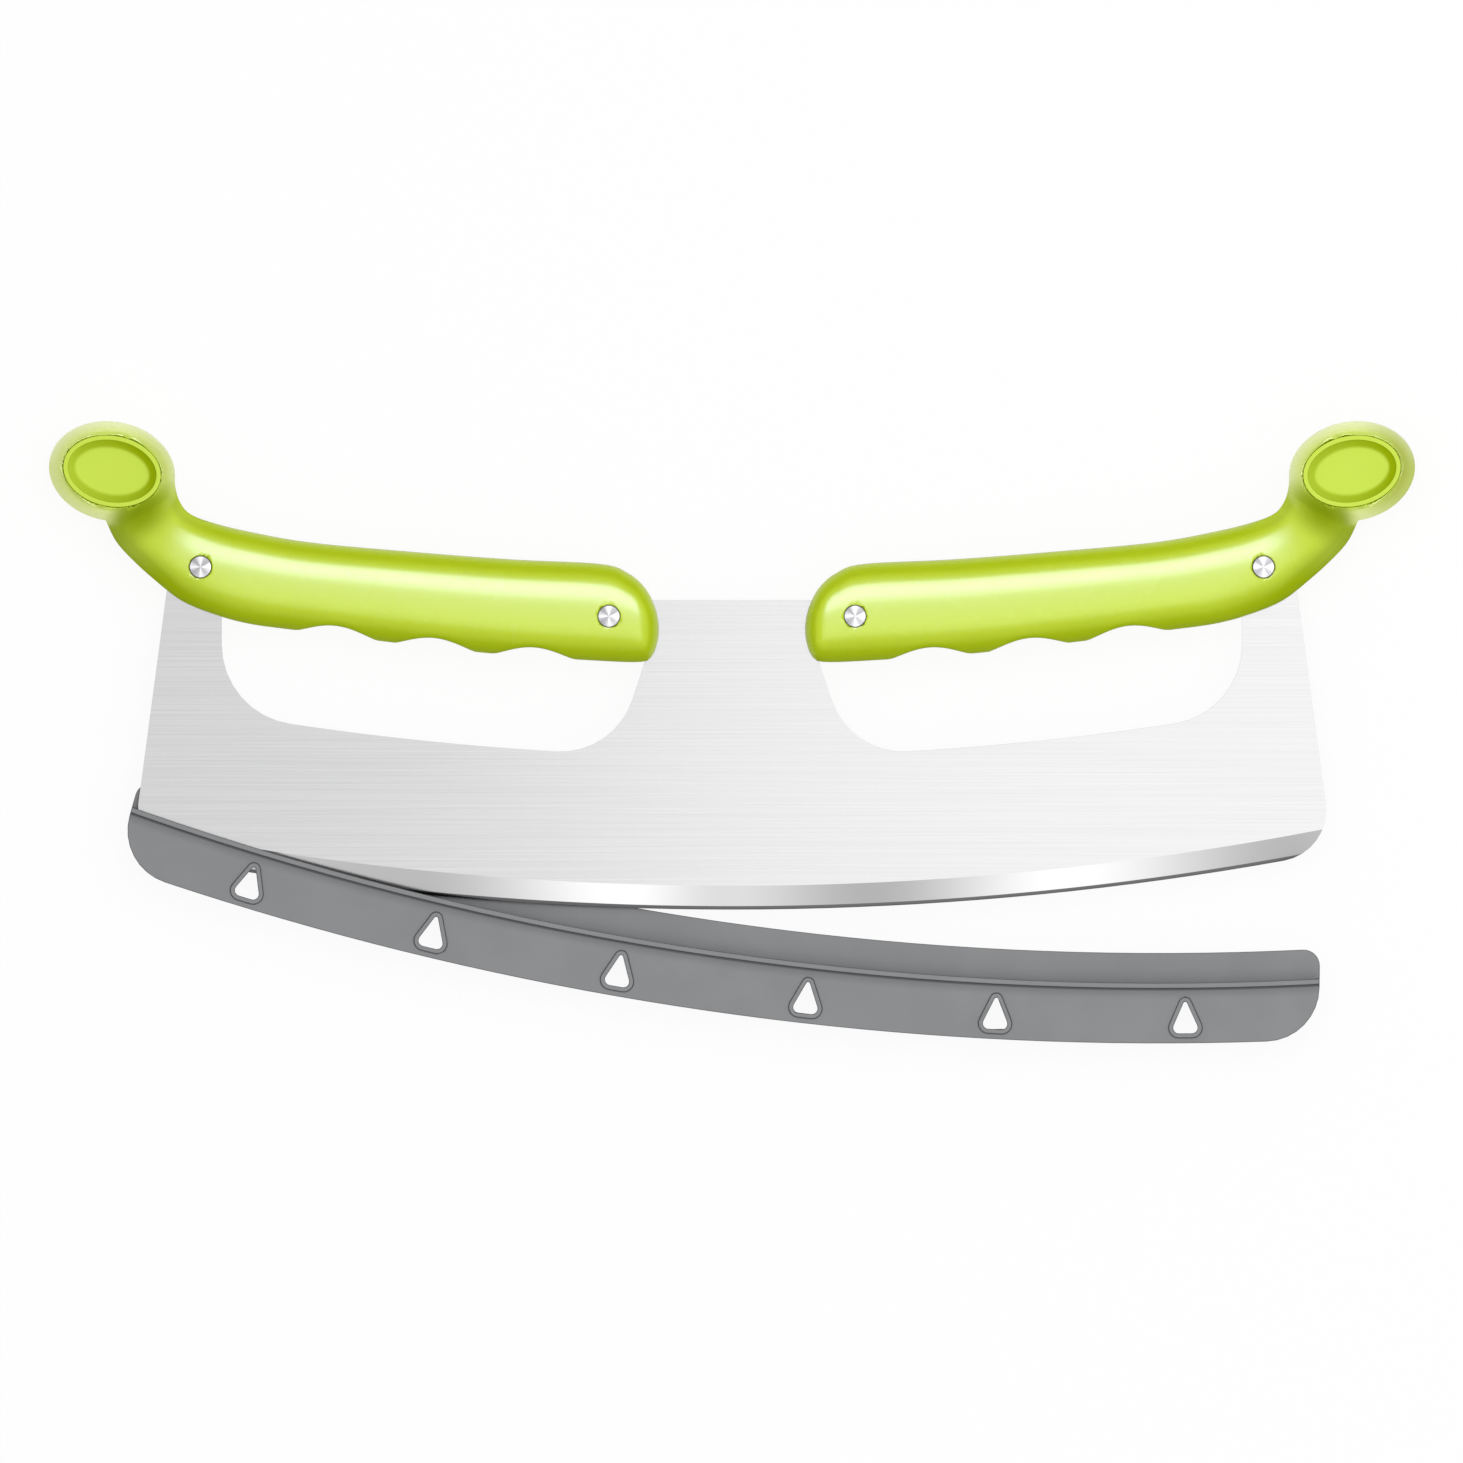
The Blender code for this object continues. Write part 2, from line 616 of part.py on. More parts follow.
def make_knob_cap(name, side, face):
    """Oval dished cap, from its underside up over the rim and down to the floor of the dish."""
    top = KNOB_HALF_THICKNESS + CAP_PROUD
    sections = (
        (0.0, top - CAP_HEIGHT),
        (0.0, top - CAP_CHAMFER),
        (CAP_CHAMFER, top),
        (CAP_RIM - CAP_CHAMFER, top),
        (CAP_RIM, top - CAP_CHAMFER),
        (CAP_RIM + CAP_SLOPE * CAP_KNEE[0], top - CAP_RECESS * CAP_KNEE[1]),
        (CAP_RIM + CAP_SLOPE, top - CAP_RECESS),
    )
    loops = [[(side * p.x, p.y, MID_HEIGHT + face * height)
              for p in oval(CAP_LENGTH / 2, CAP_WIDTH / 2, inset)] for inset, height in sections]
    cap = make_object(name, stack_mesh(name, loops), "cap_plastic")
    shade_round(cap)
    return cap


def turned(name, at, sections, face):
    """A solid turned about a rivet's axis from (radius, height over the middle plane) sections."""
    loops = [[(*p, MID_HEIGHT + face * height) for p in circle(at, radius)] for radius, height in sections]
    thing = make_object(name, stack_mesh(name, loops), "rivet_steel")
    shade_round(thing)
    return thing


def make_rivet(name, at, side):
    top = surface_height(Vector((side * at.x, at.y))) + RIVET_PROUD
    under = top - RIVET_HEAD_THICKNESS
    head = ((RIVET_HEAD_RADIUS, under), (RIVET_HEAD_RADIUS, top - RIVET_HEAD_CHAMFER),
            (RIVET_HEAD_RADIUS - RIVET_HEAD_CHAMFER, top))
    bore = RIVET_PIN_RADIUS + GAP
    turned(f"rivet_pin_{name}", at, ((RIVET_PIN_RADIUS, -under + GAP), (RIVET_PIN_RADIUS, under), *head), 1)
    sleeve = ((bore, under), (bore, -under + GAP), (SLEEVE_RADIUS, -under + GAP), (SLEEVE_RADIUS, under))
    turned(f"rivet_sleeve_{name}", at, (*sleeve, *head), -1)


def guard_outline(end_wall=0.0, floor=0.0, open_top=False):
    """The closed guard's outline, or its cavity's inside an end wall and a floor and with an open top."""
    beyond = (GUARD_SIDE_ROOM + GUARD_END_WALL - end_wall) / math.cos(BLADE_SIDE_LEAN)
    side = Vector((BLADE_TOP_HALF_WIDTH + beyond, 0.0))
    lower = side_arc_corner(side, BLADE_SIDE_LEAN, ARC_CENTRE, GUARD_RADIUS - floor,
                            GUARD_LOWER_RADIUS - floor)
    bottom = short_arc(ARC_CENTRE, lower[-1], mirrored(lower)[0], ARC_STEPS)
    if open_top:
        down = Vector((math.sin(BLADE_SIDE_LEAN), -math.cos(BLADE_SIDE_LEAN)))
        upper = [side, side + down * GUARD_UPPER_RADIUS]
    else:
        upper = side_arc_corner(side, BLADE_SIDE_LEAN, ARC_CENTRE, BACK_RADIUS, GUARD_UPPER_RADIUS, True)
        upper.reverse()
    top = short_arc(ARC_CENTRE, mirrored(upper)[-1], upper[0], ARC_STEPS)
    return upper + lower + bottom[1:-1] + mirrored(lower) + mirrored(upper) + top[1:-1]


def band_outline(inner, outer):
    """A band about the edge's arc centre, longer than the guard at both ends."""
    reach = math.asin((BLADE_TOP_HALF_WIDTH + OUTSIDE) / GUARD_RADIUS)
    start, end = -math.pi / 2 - reach, -math.pi / 2 + reach
    return (arc_points(ARC_CENTRE, inner, start, end, ARC_STEPS)
            + arc_points(ARC_CENTRE, outer, end, start, ARC_STEPS))


def drain_outline(index):
    """Rounded triangle that points at the arc's centre."""
    turn = (index - (DRAIN_COUNT - 1) / 2) * DRAIN_PITCH / GUARD_RADIUS
    spin = Matrix.Rotation(turn, 2)
    base = GUARD_RADIUS - DRAIN_UP
    corners = [ARC_CENTRE + spin @ Vector(p) for p in (
        (-DRAIN_WIDTH / 2, -base), (DRAIN_WIDTH / 2, -base), (0.0, -base + DRAIN_HEIGHT))]
    radii = (DRAIN_BASE_RADIUS, DRAIN_BASE_RADIUS, DRAIN_TIP_RADIUS)
    points = []
    for i in range(3):
        points += round_corner(corners[i - 1], corners[i], corners[(i + 1) % 3], radii[i], 5)
    return points


def make_guard():
    """U-channel with closed ends, a lip bead, a taller back wall and rimmed drain holes."""
    face = GUARD_HALF + GUARD_RELIEF
    guard = prism("blade_guard", guard_outline(), MID_HEIGHT - face, MID_HEIGHT + face, "guard_plastic")
    below_lip = band_outline(LIP_RADIUS + GUARD_LIP_HEIGHT, GUARD_RADIUS + OUTSIDE)
    front = between("guard_front_relief", below_lip, 1, GUARD_HALF, OUTSIDE)
    whole_back = band_outline(BACK_RADIUS - OUTSIDE, GUARD_RADIUS + OUTSIDE)
    back = between("guard_back_relief", whole_back, -1, GUARD_HALF, OUTSIDE)
    for i in range(DRAIN_COUNT):
        rim = grown(drain_outline(i), DRAIN_RIM)
        cut(front, between(f"drain_rim_front_{i}", rim, 1, -OUTSIDE, OUTSIDE * 2))
        cut(back, between(f"drain_rim_back_{i}", rim, -1, -OUTSIDE, OUTSIDE * 2))
    cut(guard, front, back)
    cavity = guard_outline(GUARD_END_WALL, GUARD_FLOOR, open_top=True)
    cut(guard, between("guard_slot", cavity, 1, -SLOT_HALF, SLOT_HALF))
    cut(guard, between("guard_front_opening", band_outline(BACK_RADIUS - OUTSIDE, LIP_RADIUS), 1,
                       -SLOT_HALF, OUTSIDE))
    for i in range(DRAIN_COUNT):
        cut(guard, between(f"drain_hole_{i}", drain_outline(i), 1, -OUTSIDE, OUTSIDE))
    return guard


def hinge_place():
    """Where the guard turns: beyond the blade's left corner, level with the closed guard's lip."""
    reach = side_x(-BLADE_DEPTH)
    y = ARC_CENTRE.y - math.sqrt(LIP_RADIUS ** 2 - reach ** 2)
    return Vector((-side_x(y) - HINGE_OUTSET, y))


def add_empty(name, at, turn=0.0):
    empty = bpy.data.objects.new(name, None)
    bpy.context.scene.collection.objects.link(empty)
    empty.location = (*at, 0.0)
    empty.rotation_euler.z = turn
    return empty


def middle_height():
    """Middle of the whole outline in Y, from the knobs' tops to the open guard's lowest point."""
    tilt = Vector((KNOB_LONG * math.sin(KNOB_TILT), KNOB_SHORT * math.cos(KNOB_TILT)))
    pin = hinge_place()
    centre = pin + Matrix.Rotation(-GUARD_OPEN_ANGLE, 2) @ (GUARD_CENTRE - pin)
    return (KNOB_CENTRE.y + tilt.length + centre.y - GUARD_RADIUS) / 2


def main():
    clear_scene()
    make_blade()
    for word, side in (("left", -1), ("right", 1)):
        for view, face in (("front", 1), ("back", -1)):
            make_half_handle(f"handle_{word}_{view}", side, face)
            make_knob_cap(f"knob_cap_{word}_{view}", side, face)
    for name, at, side in rivet_places():
        make_rivet(name, at, side)
    knife_pieces = list(bpy.data.objects)
    make_guard()
    guard_pieces = [thing for thing in bpy.data.objects if thing not in knife_pieces]
    knife = add_empty("knife", (0.0, -middle_height()))
    hinge = add_empty("guard_hinge", hinge_place(), -GUARD_OPEN_ANGLE)
    hinge.parent = knife
    for thing in knife_pieces:
        thing.parent = knife
    for thing in guard_pieces:
        thing.parent = hinge
        thing.location = (GUARD_SLIDE - hinge.location.x, -hinge.location.y, 0.0)


main()
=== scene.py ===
"""Looks of the two-handled pizza rocker knife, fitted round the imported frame.

The knife lies on its back: +X to the right, +Y from the edge towards the handles, +Z out of the front face.
Plan places are measured from the middle of the blade's top edge, for the right-hand side, and are mirrored
for the left.
"""

from __future__ import annotations

import json
import logging
import math
from dataclasses import dataclass
from enum import Enum
from typing import Any, Iterable, Sequence

import bmesh
import bpy
from mathutils import Matrix, Vector

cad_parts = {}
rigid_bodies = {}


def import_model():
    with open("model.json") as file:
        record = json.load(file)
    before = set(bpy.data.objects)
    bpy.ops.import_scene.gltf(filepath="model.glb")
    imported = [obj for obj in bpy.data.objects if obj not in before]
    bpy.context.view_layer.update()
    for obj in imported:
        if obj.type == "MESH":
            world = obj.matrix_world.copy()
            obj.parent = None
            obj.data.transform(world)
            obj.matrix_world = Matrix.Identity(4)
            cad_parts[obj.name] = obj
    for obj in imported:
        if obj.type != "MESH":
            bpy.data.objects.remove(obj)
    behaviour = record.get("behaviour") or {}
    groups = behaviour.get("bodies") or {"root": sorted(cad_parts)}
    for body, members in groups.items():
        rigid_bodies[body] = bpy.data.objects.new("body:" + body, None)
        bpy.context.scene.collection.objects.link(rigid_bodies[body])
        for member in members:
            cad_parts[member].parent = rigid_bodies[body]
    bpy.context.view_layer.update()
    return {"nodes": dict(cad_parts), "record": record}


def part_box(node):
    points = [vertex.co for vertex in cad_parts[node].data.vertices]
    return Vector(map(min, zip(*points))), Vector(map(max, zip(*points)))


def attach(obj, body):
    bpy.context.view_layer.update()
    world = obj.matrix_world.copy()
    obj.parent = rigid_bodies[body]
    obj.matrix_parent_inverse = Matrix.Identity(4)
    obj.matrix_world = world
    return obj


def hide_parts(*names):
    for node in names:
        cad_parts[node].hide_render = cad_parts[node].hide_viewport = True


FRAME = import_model()

LOG = logging.getLogger("rocker_knife")
MM = 0.001

# A face whose normal's Z is over this lies level
LEVEL = 0.9999

# The Mix node's two colours and its result by number, because its other kinds of value share their names
MIX_COLOURS = (6, 7)
MIX_RESULT = 2

# Points of the frame's meshes that are nearer than this are one point
MERGE_REACH = 0.002 * MM

# Faces of the frame's meshes that meet at less than this are one flat face
FLAT_JOIN = math.radians(0.2)

# Edges sharper than this are rounded
SHARP_EDGE = math.radians(35)

# Edges sharper than these look crisp, on sheet, on turned and on moulded pieces
SHEET_EDGE = math.radians(25)
TURNED_EDGE = math.radians(32)
MOULDED_EDGE = math.radians(50)

# How many points a cut circle has, and how many each stretch of a drawn curve is measured by
HOLE_STEPS = 64
CURVE_SAMPLES = 16

Colour = tuple[float, float, float]
Pair = tuple[float, float]
Point = tuple[float, float, float]

WHITE: Colour = (1.0, 1.0, 1.0)


class Side(Enum):
    """Which end of the knife a piece belongs to."""

    LEFT = -1
    RIGHT = 1

    @property
    def word(self) -> str:
        """The side's name as the frame's nodes spell it."""
        return self.name.lower()


class Face(Enum):
    """Which face of the blade a piece lies on."""

    BACK = -1
    FRONT = 1

    @property
    def word(self) -> str:
        """The face's name as the frame's nodes spell it."""
        return self.name.lower()


class Place(Enum):
    """Which of a handle's two rivets is meant."""

    OUTER = "outer"
    INNER = "inner"


class Socket:
    """An output of a node, on which sums and products add Math nodes."""

    def __init__(self, graph: Graph, output: bpy.types.NodeSocket) -> None:
        """Keeps the graph and the output that later nodes link to.

        Args:
            graph: The graph that holds the node.
            output: The node's output socket.
        """
        self.graph = graph
        self.output = output

    def _math(self, operation: str, first: Socket | float, second: Socket | float = 0.0) -> Socket:
        """Adds a Math node on two values and returns its result."""
        return self.graph.node("ShaderNodeMath", {"operation": operation}, {0: first, 1: second})

    def __add__(self, other: Socket | float) -> Socket:
        """Sum."""
        return self._math("ADD", self, other)

    def __radd__(self, other: Socket | float) -> Socket:
        """Sum with the number first."""
        return self._math("ADD", other, self)

    def __sub__(self, other: Socket | float) -> Socket:
        """Difference."""
        return self._math("SUBTRACT", self, other)

    def __rsub__(self, other: Socket | float) -> Socket:
        """Difference with the number first."""
        return self._math("SUBTRACT", other, self)

    def __mul__(self, other: Socket | float) -> Socket:
        """Product."""
        return self._math("MULTIPLY", self, other)

    def __rmul__(self, other: Socket | float) -> Socket:
        """Product with the number first."""
        return self._math("MULTIPLY", other, self)

    def __truediv__(self, other: Socket | float) -> Socket:
        """Quotient."""
        return self._math("DIVIDE", self, other)

    def __rtruediv__(self, other: Socket | float) -> Socket:
        """Quotient with the number first."""
        return self._math("DIVIDE", other, self)

    def __pow__(self, other: Socket | float) -> Socket:
        """Power."""
        return self._math("POWER", self, other)

    def __rpow__(self, other: Socket | float) -> Socket:
        """Power of the number."""
        return self._math("POWER", other, self)

    def __abs__(self) -> Socket:
        """Size without its sign."""
        return self._math("ABSOLUTE", self)

    def sine(self) -> Socket:
        """Sine of the value in radians."""
        return self._math("SINE", self)

    def root(self) -> Socket:
        """Square root."""
        return self._math("SQRT", self)

    def ease(self, low: float, high: float) -> Socket:
        """Turns the value into a smooth step.

        Args:
            low: Where the step starts at 0.
            high: Where it reaches 1.

        Returns:
            The step, between 0 and 1.
        """
        return self.graph.node(
            "ShaderNodeMapRange", {"interpolation_type": "SMOOTHSTEP"}, {0: self, 1: low, 2: high})


class Graph:
    """The nodes of a new material or world."""

    def __init__(self, owner: bpy.types.Material | bpy.types.World) -> None:
        """Empties the owner's node tree.

        Args:
            owner: The material or the world.
        """
        self.owner = owner
        owner.use_nodes = True
        self.tree = owner.node_tree
        self.tree.nodes.clear()

    @classmethod
    def of_material(cls, name: str) -> Graph:
        """The empty graph of a new material."""
        return cls(bpy.data.materials.new(name))

    def add(self, kind: str, settings: dict[str, Any] | None = None,
            sockets: dict[int | str, Any] | None = None) -> bpy.types.Node:
        """Adds one node.

        Args:
            kind: Blender's name of the node's type.
            settings: The node's own settings, set first. "stops" holds a ramp's places and greys.
            sockets: Values or links of its input sockets, by name or number.

        Returns:
            The node.
        """
        node = self.tree.nodes.new(kind)
        for key, value in (settings or {}).items():
            if key == "stops":
                self._set_stops(node.color_ramp, value)
            else:
                setattr(node, key, value)
        for key, value in (sockets or {}).items():
            if isinstance(value, Socket):
                self.tree.links.new(value.output, node.inputs[key])
            else:
                node.inputs[key].default_value = value
        return node

    def node(self, kind: str, settings: dict[str, Any] | None = None,
             sockets: dict[int | str, Any] | None = None, output: int | str = 0) -> Socket:
        """Adds one node and returns one of its outputs."""
        return Socket(self, self.add(kind, settings, sockets).outputs[output])

    @staticmethod
    def _set_stops(ramp: bpy.types.ColorRamp, stops: Sequence[Pair]) -> None:
        """Gives a ramp its places and greys, with eased steps between them.

        Args:
            ramp: The ramp.
            stops: Each stop's place, from 0 to 1, and its grey.
        """
        ramp.interpolation = "EASE"
        while len(ramp.elements) < len(stops):
            ramp.elements.new(1.0)
        for element, (place, grey) in zip(ramp.elements, stops):
            element.position = place
            element.color = (grey, grey, grey, 1.0)

    def place(self) -> Socket:
        """The surface's place in the piece's own frame."""
        return self.node("ShaderNodeTexCoord", output="Object")

    def facing(self) -> tuple[Socket, Socket, Socket]:
        """The parts of the surface's normal in the piece's own frame."""
        return self.split(self.node("ShaderNodeTexCoord", output="Normal"))

    def split(self, vector: Socket) -> tuple[Socket, Socket, Socket]:
        """A vector's three parts."""
        node = self.add("ShaderNodeSeparateXYZ", None, {0: vector})
        return tuple(Socket(self, part) for part in node.outputs)

    def join(self, x: Socket | float, y: Socket | float, z: Socket | float) -> Socket:
        """A vector from three values."""
        return self.node("ShaderNodeCombineXYZ", None, {0: x, 1: y, 2: z})

    def stretch(self, vector: Socket, factors: Sequence[float]) -> Socket:
        """A vector with each part multiplied."""
        return self.node("ShaderNodeVectorMath", {"operation": "MULTIPLY"}, {0: vector, 1: tuple(factors)})

    def noise(self, vector: Socket, detail: float = 2.0, roughness: float = 0.5) -> Socket:
        """Noise of about 0 to 1 with grains one unit across."""
        return self.node("ShaderNodeTexNoise", None,
                         {"Vector": vector, "Scale": 1.0, "Detail": detail, "Roughness": roughness})

    def grains(self, size: float, detail: float = 2.0) -> Socket:
        """Noise over the surface's place, with round grains of a size in metres."""
        return self.noise(self.stretch(self.place(), [1 / size] * 3), detail)

    def ramp(self, value: Socket, stops: Sequence[Pair]) -> Socket:
        """A grey read from a ramp."""
        return self.node("ShaderNodeValToRGB", {"stops": stops}, {0: value})

    def mix(self, share: Socket | float, first: Socket | Colour, second: Socket | Colour) -> Socket:
        """Blends two colours.

        Args:
            share: How much of the second shows.
            first: A colour or a link.
            second: A colour or a link.

        Returns:
            The blended colour.
        """
        colours = [c if isinstance(c, Socket) else (*c, 1.0) for c in (first, second)]
        return self.node("ShaderNodeMix", {"data_type": "RGBA"},
                         {0: share, **dict(zip(MIX_COLOURS, colours))}, MIX_RESULT)

    def bump(self, height: Socket, strength: float, depth: float) -> Socket:
        """A bumped normal.

        Args:
            height: Heights of about 0 to 1.
            strength: How much of the bump shows.
            depth: The height in metres that 1 stands for.

        Returns:
            The normal.
        """
        return self.node("ShaderNodeBump", None,
                         {"Strength": strength, "Distance": depth, "Height": height})

    def finish(self, dull: Socket | None = None, **sockets: Any) -> bpy.types.Material:
        """Adds the surface shader and the output.

        Args:
            dull: Where the surface has no gleam, if anywhere.
            sockets: The shader's sockets, with underscores for spaces.

        Returns:
            The material.
        """
        named = {key.replace("_", " ").title().replace("Ior", "IOR"): value
                 for key, value in sockets.items()}
        shader = self.node("ShaderNodeBsdfPrincipled", None, named)
        if dull is not None:
            flat = self.node("ShaderNodeBsdfPrincipled", None, {**named, "Specular IOR Level": 0.0})
            shader = self.node("ShaderNodeMixShader", None, {0: dull, 1: shader, 2: flat})
        return self.close(shader)

    def close(self, shader: Socket) -> bpy.types.Material | bpy.types.World:
        """Sends a shader to the owner's surface.

        Args:
            shader: The shader.

        Returns:
            The material or the world.
        """
        kind = "World" if isinstance(self.owner, bpy.types.World) else "Material"
        self.add(f"ShaderNodeOutput{kind}", None, {"Surface": shader})
        return self.owner


@dataclass(frozen=True)
class BrushedSteel:
    """Stainless sheet, brushed along the blade, with a polished bevel whose bright and dark bands are painted
    reflection, and a dark honed edge.
    """

    sheet: Colour = (0.65, 0.65, 0.652)
    sheet_dark: Colour = (0.608, 0.608, 0.611)
    honed: Colour = (0.12, 0.12, 0.124)
    sheet_roughness: float = 0.22
    bevel_roughness: float = 0.2
    roughness_change: float = 0.1
    grain_length: float = 60 * MM
    grain_width: float = 0.33 * MM
    grain_share: float = 0.95
    grain_roughness: float = 0.4
    grain_strength: float = 0.25
    grain_depth: float = 0.02 * MM
    streak_length: float = 140 * MM
    streak_width: float = 1.3 * MM
    streak_share: float = 0.12
    brushed_range: Pair = (0.28, 0.8)
    bevel_grain: float = 0.06
    bevel_line: Pair = (-0.05 * MM, 0.05 * MM)
    honed_line: Pair = (-0.06 * MM, 0.02 * MM)
    half_length: float = 160 * MM
    # Painted reflection on the polished bevel: its grey at places along the knife
    bevel_tone: tuple[Pair, ...] = (
        (-155 * MM, 0.60), (-81 * MM, 0.46), (-30.4 * MM, 0.86), (-2.0 * MM, 0.55),
        (35.9 * MM, 0.31), (86.6 * MM, 0.72), (145 * MM, 0.32), (158 * MM, 0.35))

    def material(self, blade: Blade) -> bpy.types.Material:
        """Makes the blade's material.

        Args:
            blade: The blade, for the places of its bevel and its edge.

        Returns:
            The material.
        """
        graph = Graph.of_material("blade_brushed_steel")
        place = graph.place()
        x, y, _ = graph.split(place)
        inwards = blade.edge_radius - (x * x + (y - blade.arc_centre_y) ** 2).root()
        on_bevel = (blade.bevel_height - inwards).ease(*self.bevel_line)
        on_honed = (blade.honed_height - inwards).ease(*self.honed_line)
        grain = graph.noise(graph.stretch(
            place, (1 / self.grain_length, 1 / self.grain_width, 1 / self.grain_width)),
                            roughness=self.grain_roughness)
        streak = graph.noise(graph.stretch(
            place, (1 / self.streak_length, 1 / self.streak_width, 1 / self.streak_width)))
        sheen = (grain * self.grain_share + streak * self.streak_share).ease(*self.brushed_range)
        brushed = graph.mix(sheen, self.sheet_dark, self.sheet)
        # The bevel's painted reflection, read along the knife and mixed with a little of the brushed grain
        stops = [(0.5 + at / (2 * self.half_length), painted_bevel_tone) for at, painted_bevel_tone in self.bevel_tone]
        painted_bevel_tone = graph.ramp(x / (2 * self.half_length) + 0.5, stops)
        ground = graph.mix(self.bevel_grain, painted_bevel_tone, brushed)
        colour = graph.mix(on_honed, graph.mix(on_bevel, brushed, ground), self.honed)
        sheet_roughness = self.sheet_roughness + (grain - 0.5) * self.roughness_change
        roughness = sheet_roughness * (1 - on_bevel) + self.bevel_roughness * on_bevel
        relief = graph.bump(grain * (1 - on_bevel), self.grain_strength, self.grain_depth)
        return graph.finish(base_color=colour, roughness=roughness, metallic=1.0, normal=relief)


@dataclass(frozen=True)
class SpunSteel:
    """A rivet head turned on a lathe, with painted sheen in sectors, a painted shadow line round its rim, and
    fine rings.
    """

    # The painted sheen's bright and dark greys
    bright: Colour = (0.95, 0.95, 0.96)
    dark: Colour = (0.40, 0.40, 0.42)
    roughness: float = 0.24
    roughness_change: float = 0.12
    sectors: float = 1.5
    streaks: float = 9.0
    cross_share: float = 0.55
    sector_share: float = 0.5
    streak_share: float = 0.8
    sheen_range: Pair = (0.12, 0.8)
    ring_pitch: float = 0.16 * MM
    ring_strength: float = 0.2
    ring_depth: float = 0.01 * MM
    # The painted shadow line round the head's rim, where it sits in its seat
    outline: Colour = (0.03, 0.03, 0.03)
    outline_share: float = 0.85
    outline_reach: Pair = (0.28 * MM, 0.112 * MM)
    hub: float = 0.001 * MM

    def material(self, rivet: Rivet) -> bpy.types.Material:
        """Makes the rivets' material, in a frame about the rivet's own axis.

        Args:
            rivet: The rivet, for the size of its head.

        Returns:
            The material.
        """
        graph = Graph.of_material("rivet_spun_steel")
        x, y, z = graph.split(graph.place())
        radius = (x * x + y * y).root() + self.hub
        across, along = x / radius, y / radius
        wide = graph.noise(graph.join(across * self.sectors, along * self.sectors, z), detail=1.0)
        fine = graph.noise(graph.join(across * self.streaks, along * self.streaks, z)) - 0.5
        # Painted sheen: bright and dark sectors that stand in for the turned rings' reflections
        cross = 1 - abs(across * along) * 2
        sheen = cross * self.cross_share + wide * self.sector_share + fine * self.streak_share
        metal = graph.mix(sheen.ease(*self.sheen_range), self.dark, self.bright)
        # Painted shadow line round the head's rim
        outline = radius.ease(*(rivet.head_radius - reach for reach in self.outline_reach))
        rings = (radius * (2 * math.pi / self.ring_pitch)).sine()
        return graph.finish(base_color=graph.mix(outline * self.outline_share, metal, self.outline),
                            metallic=1.0, roughness=self.roughness + fine * self.roughness_change,
                            normal=graph.bump(rings * 0.5 + 0.5, self.ring_strength, self.ring_depth))


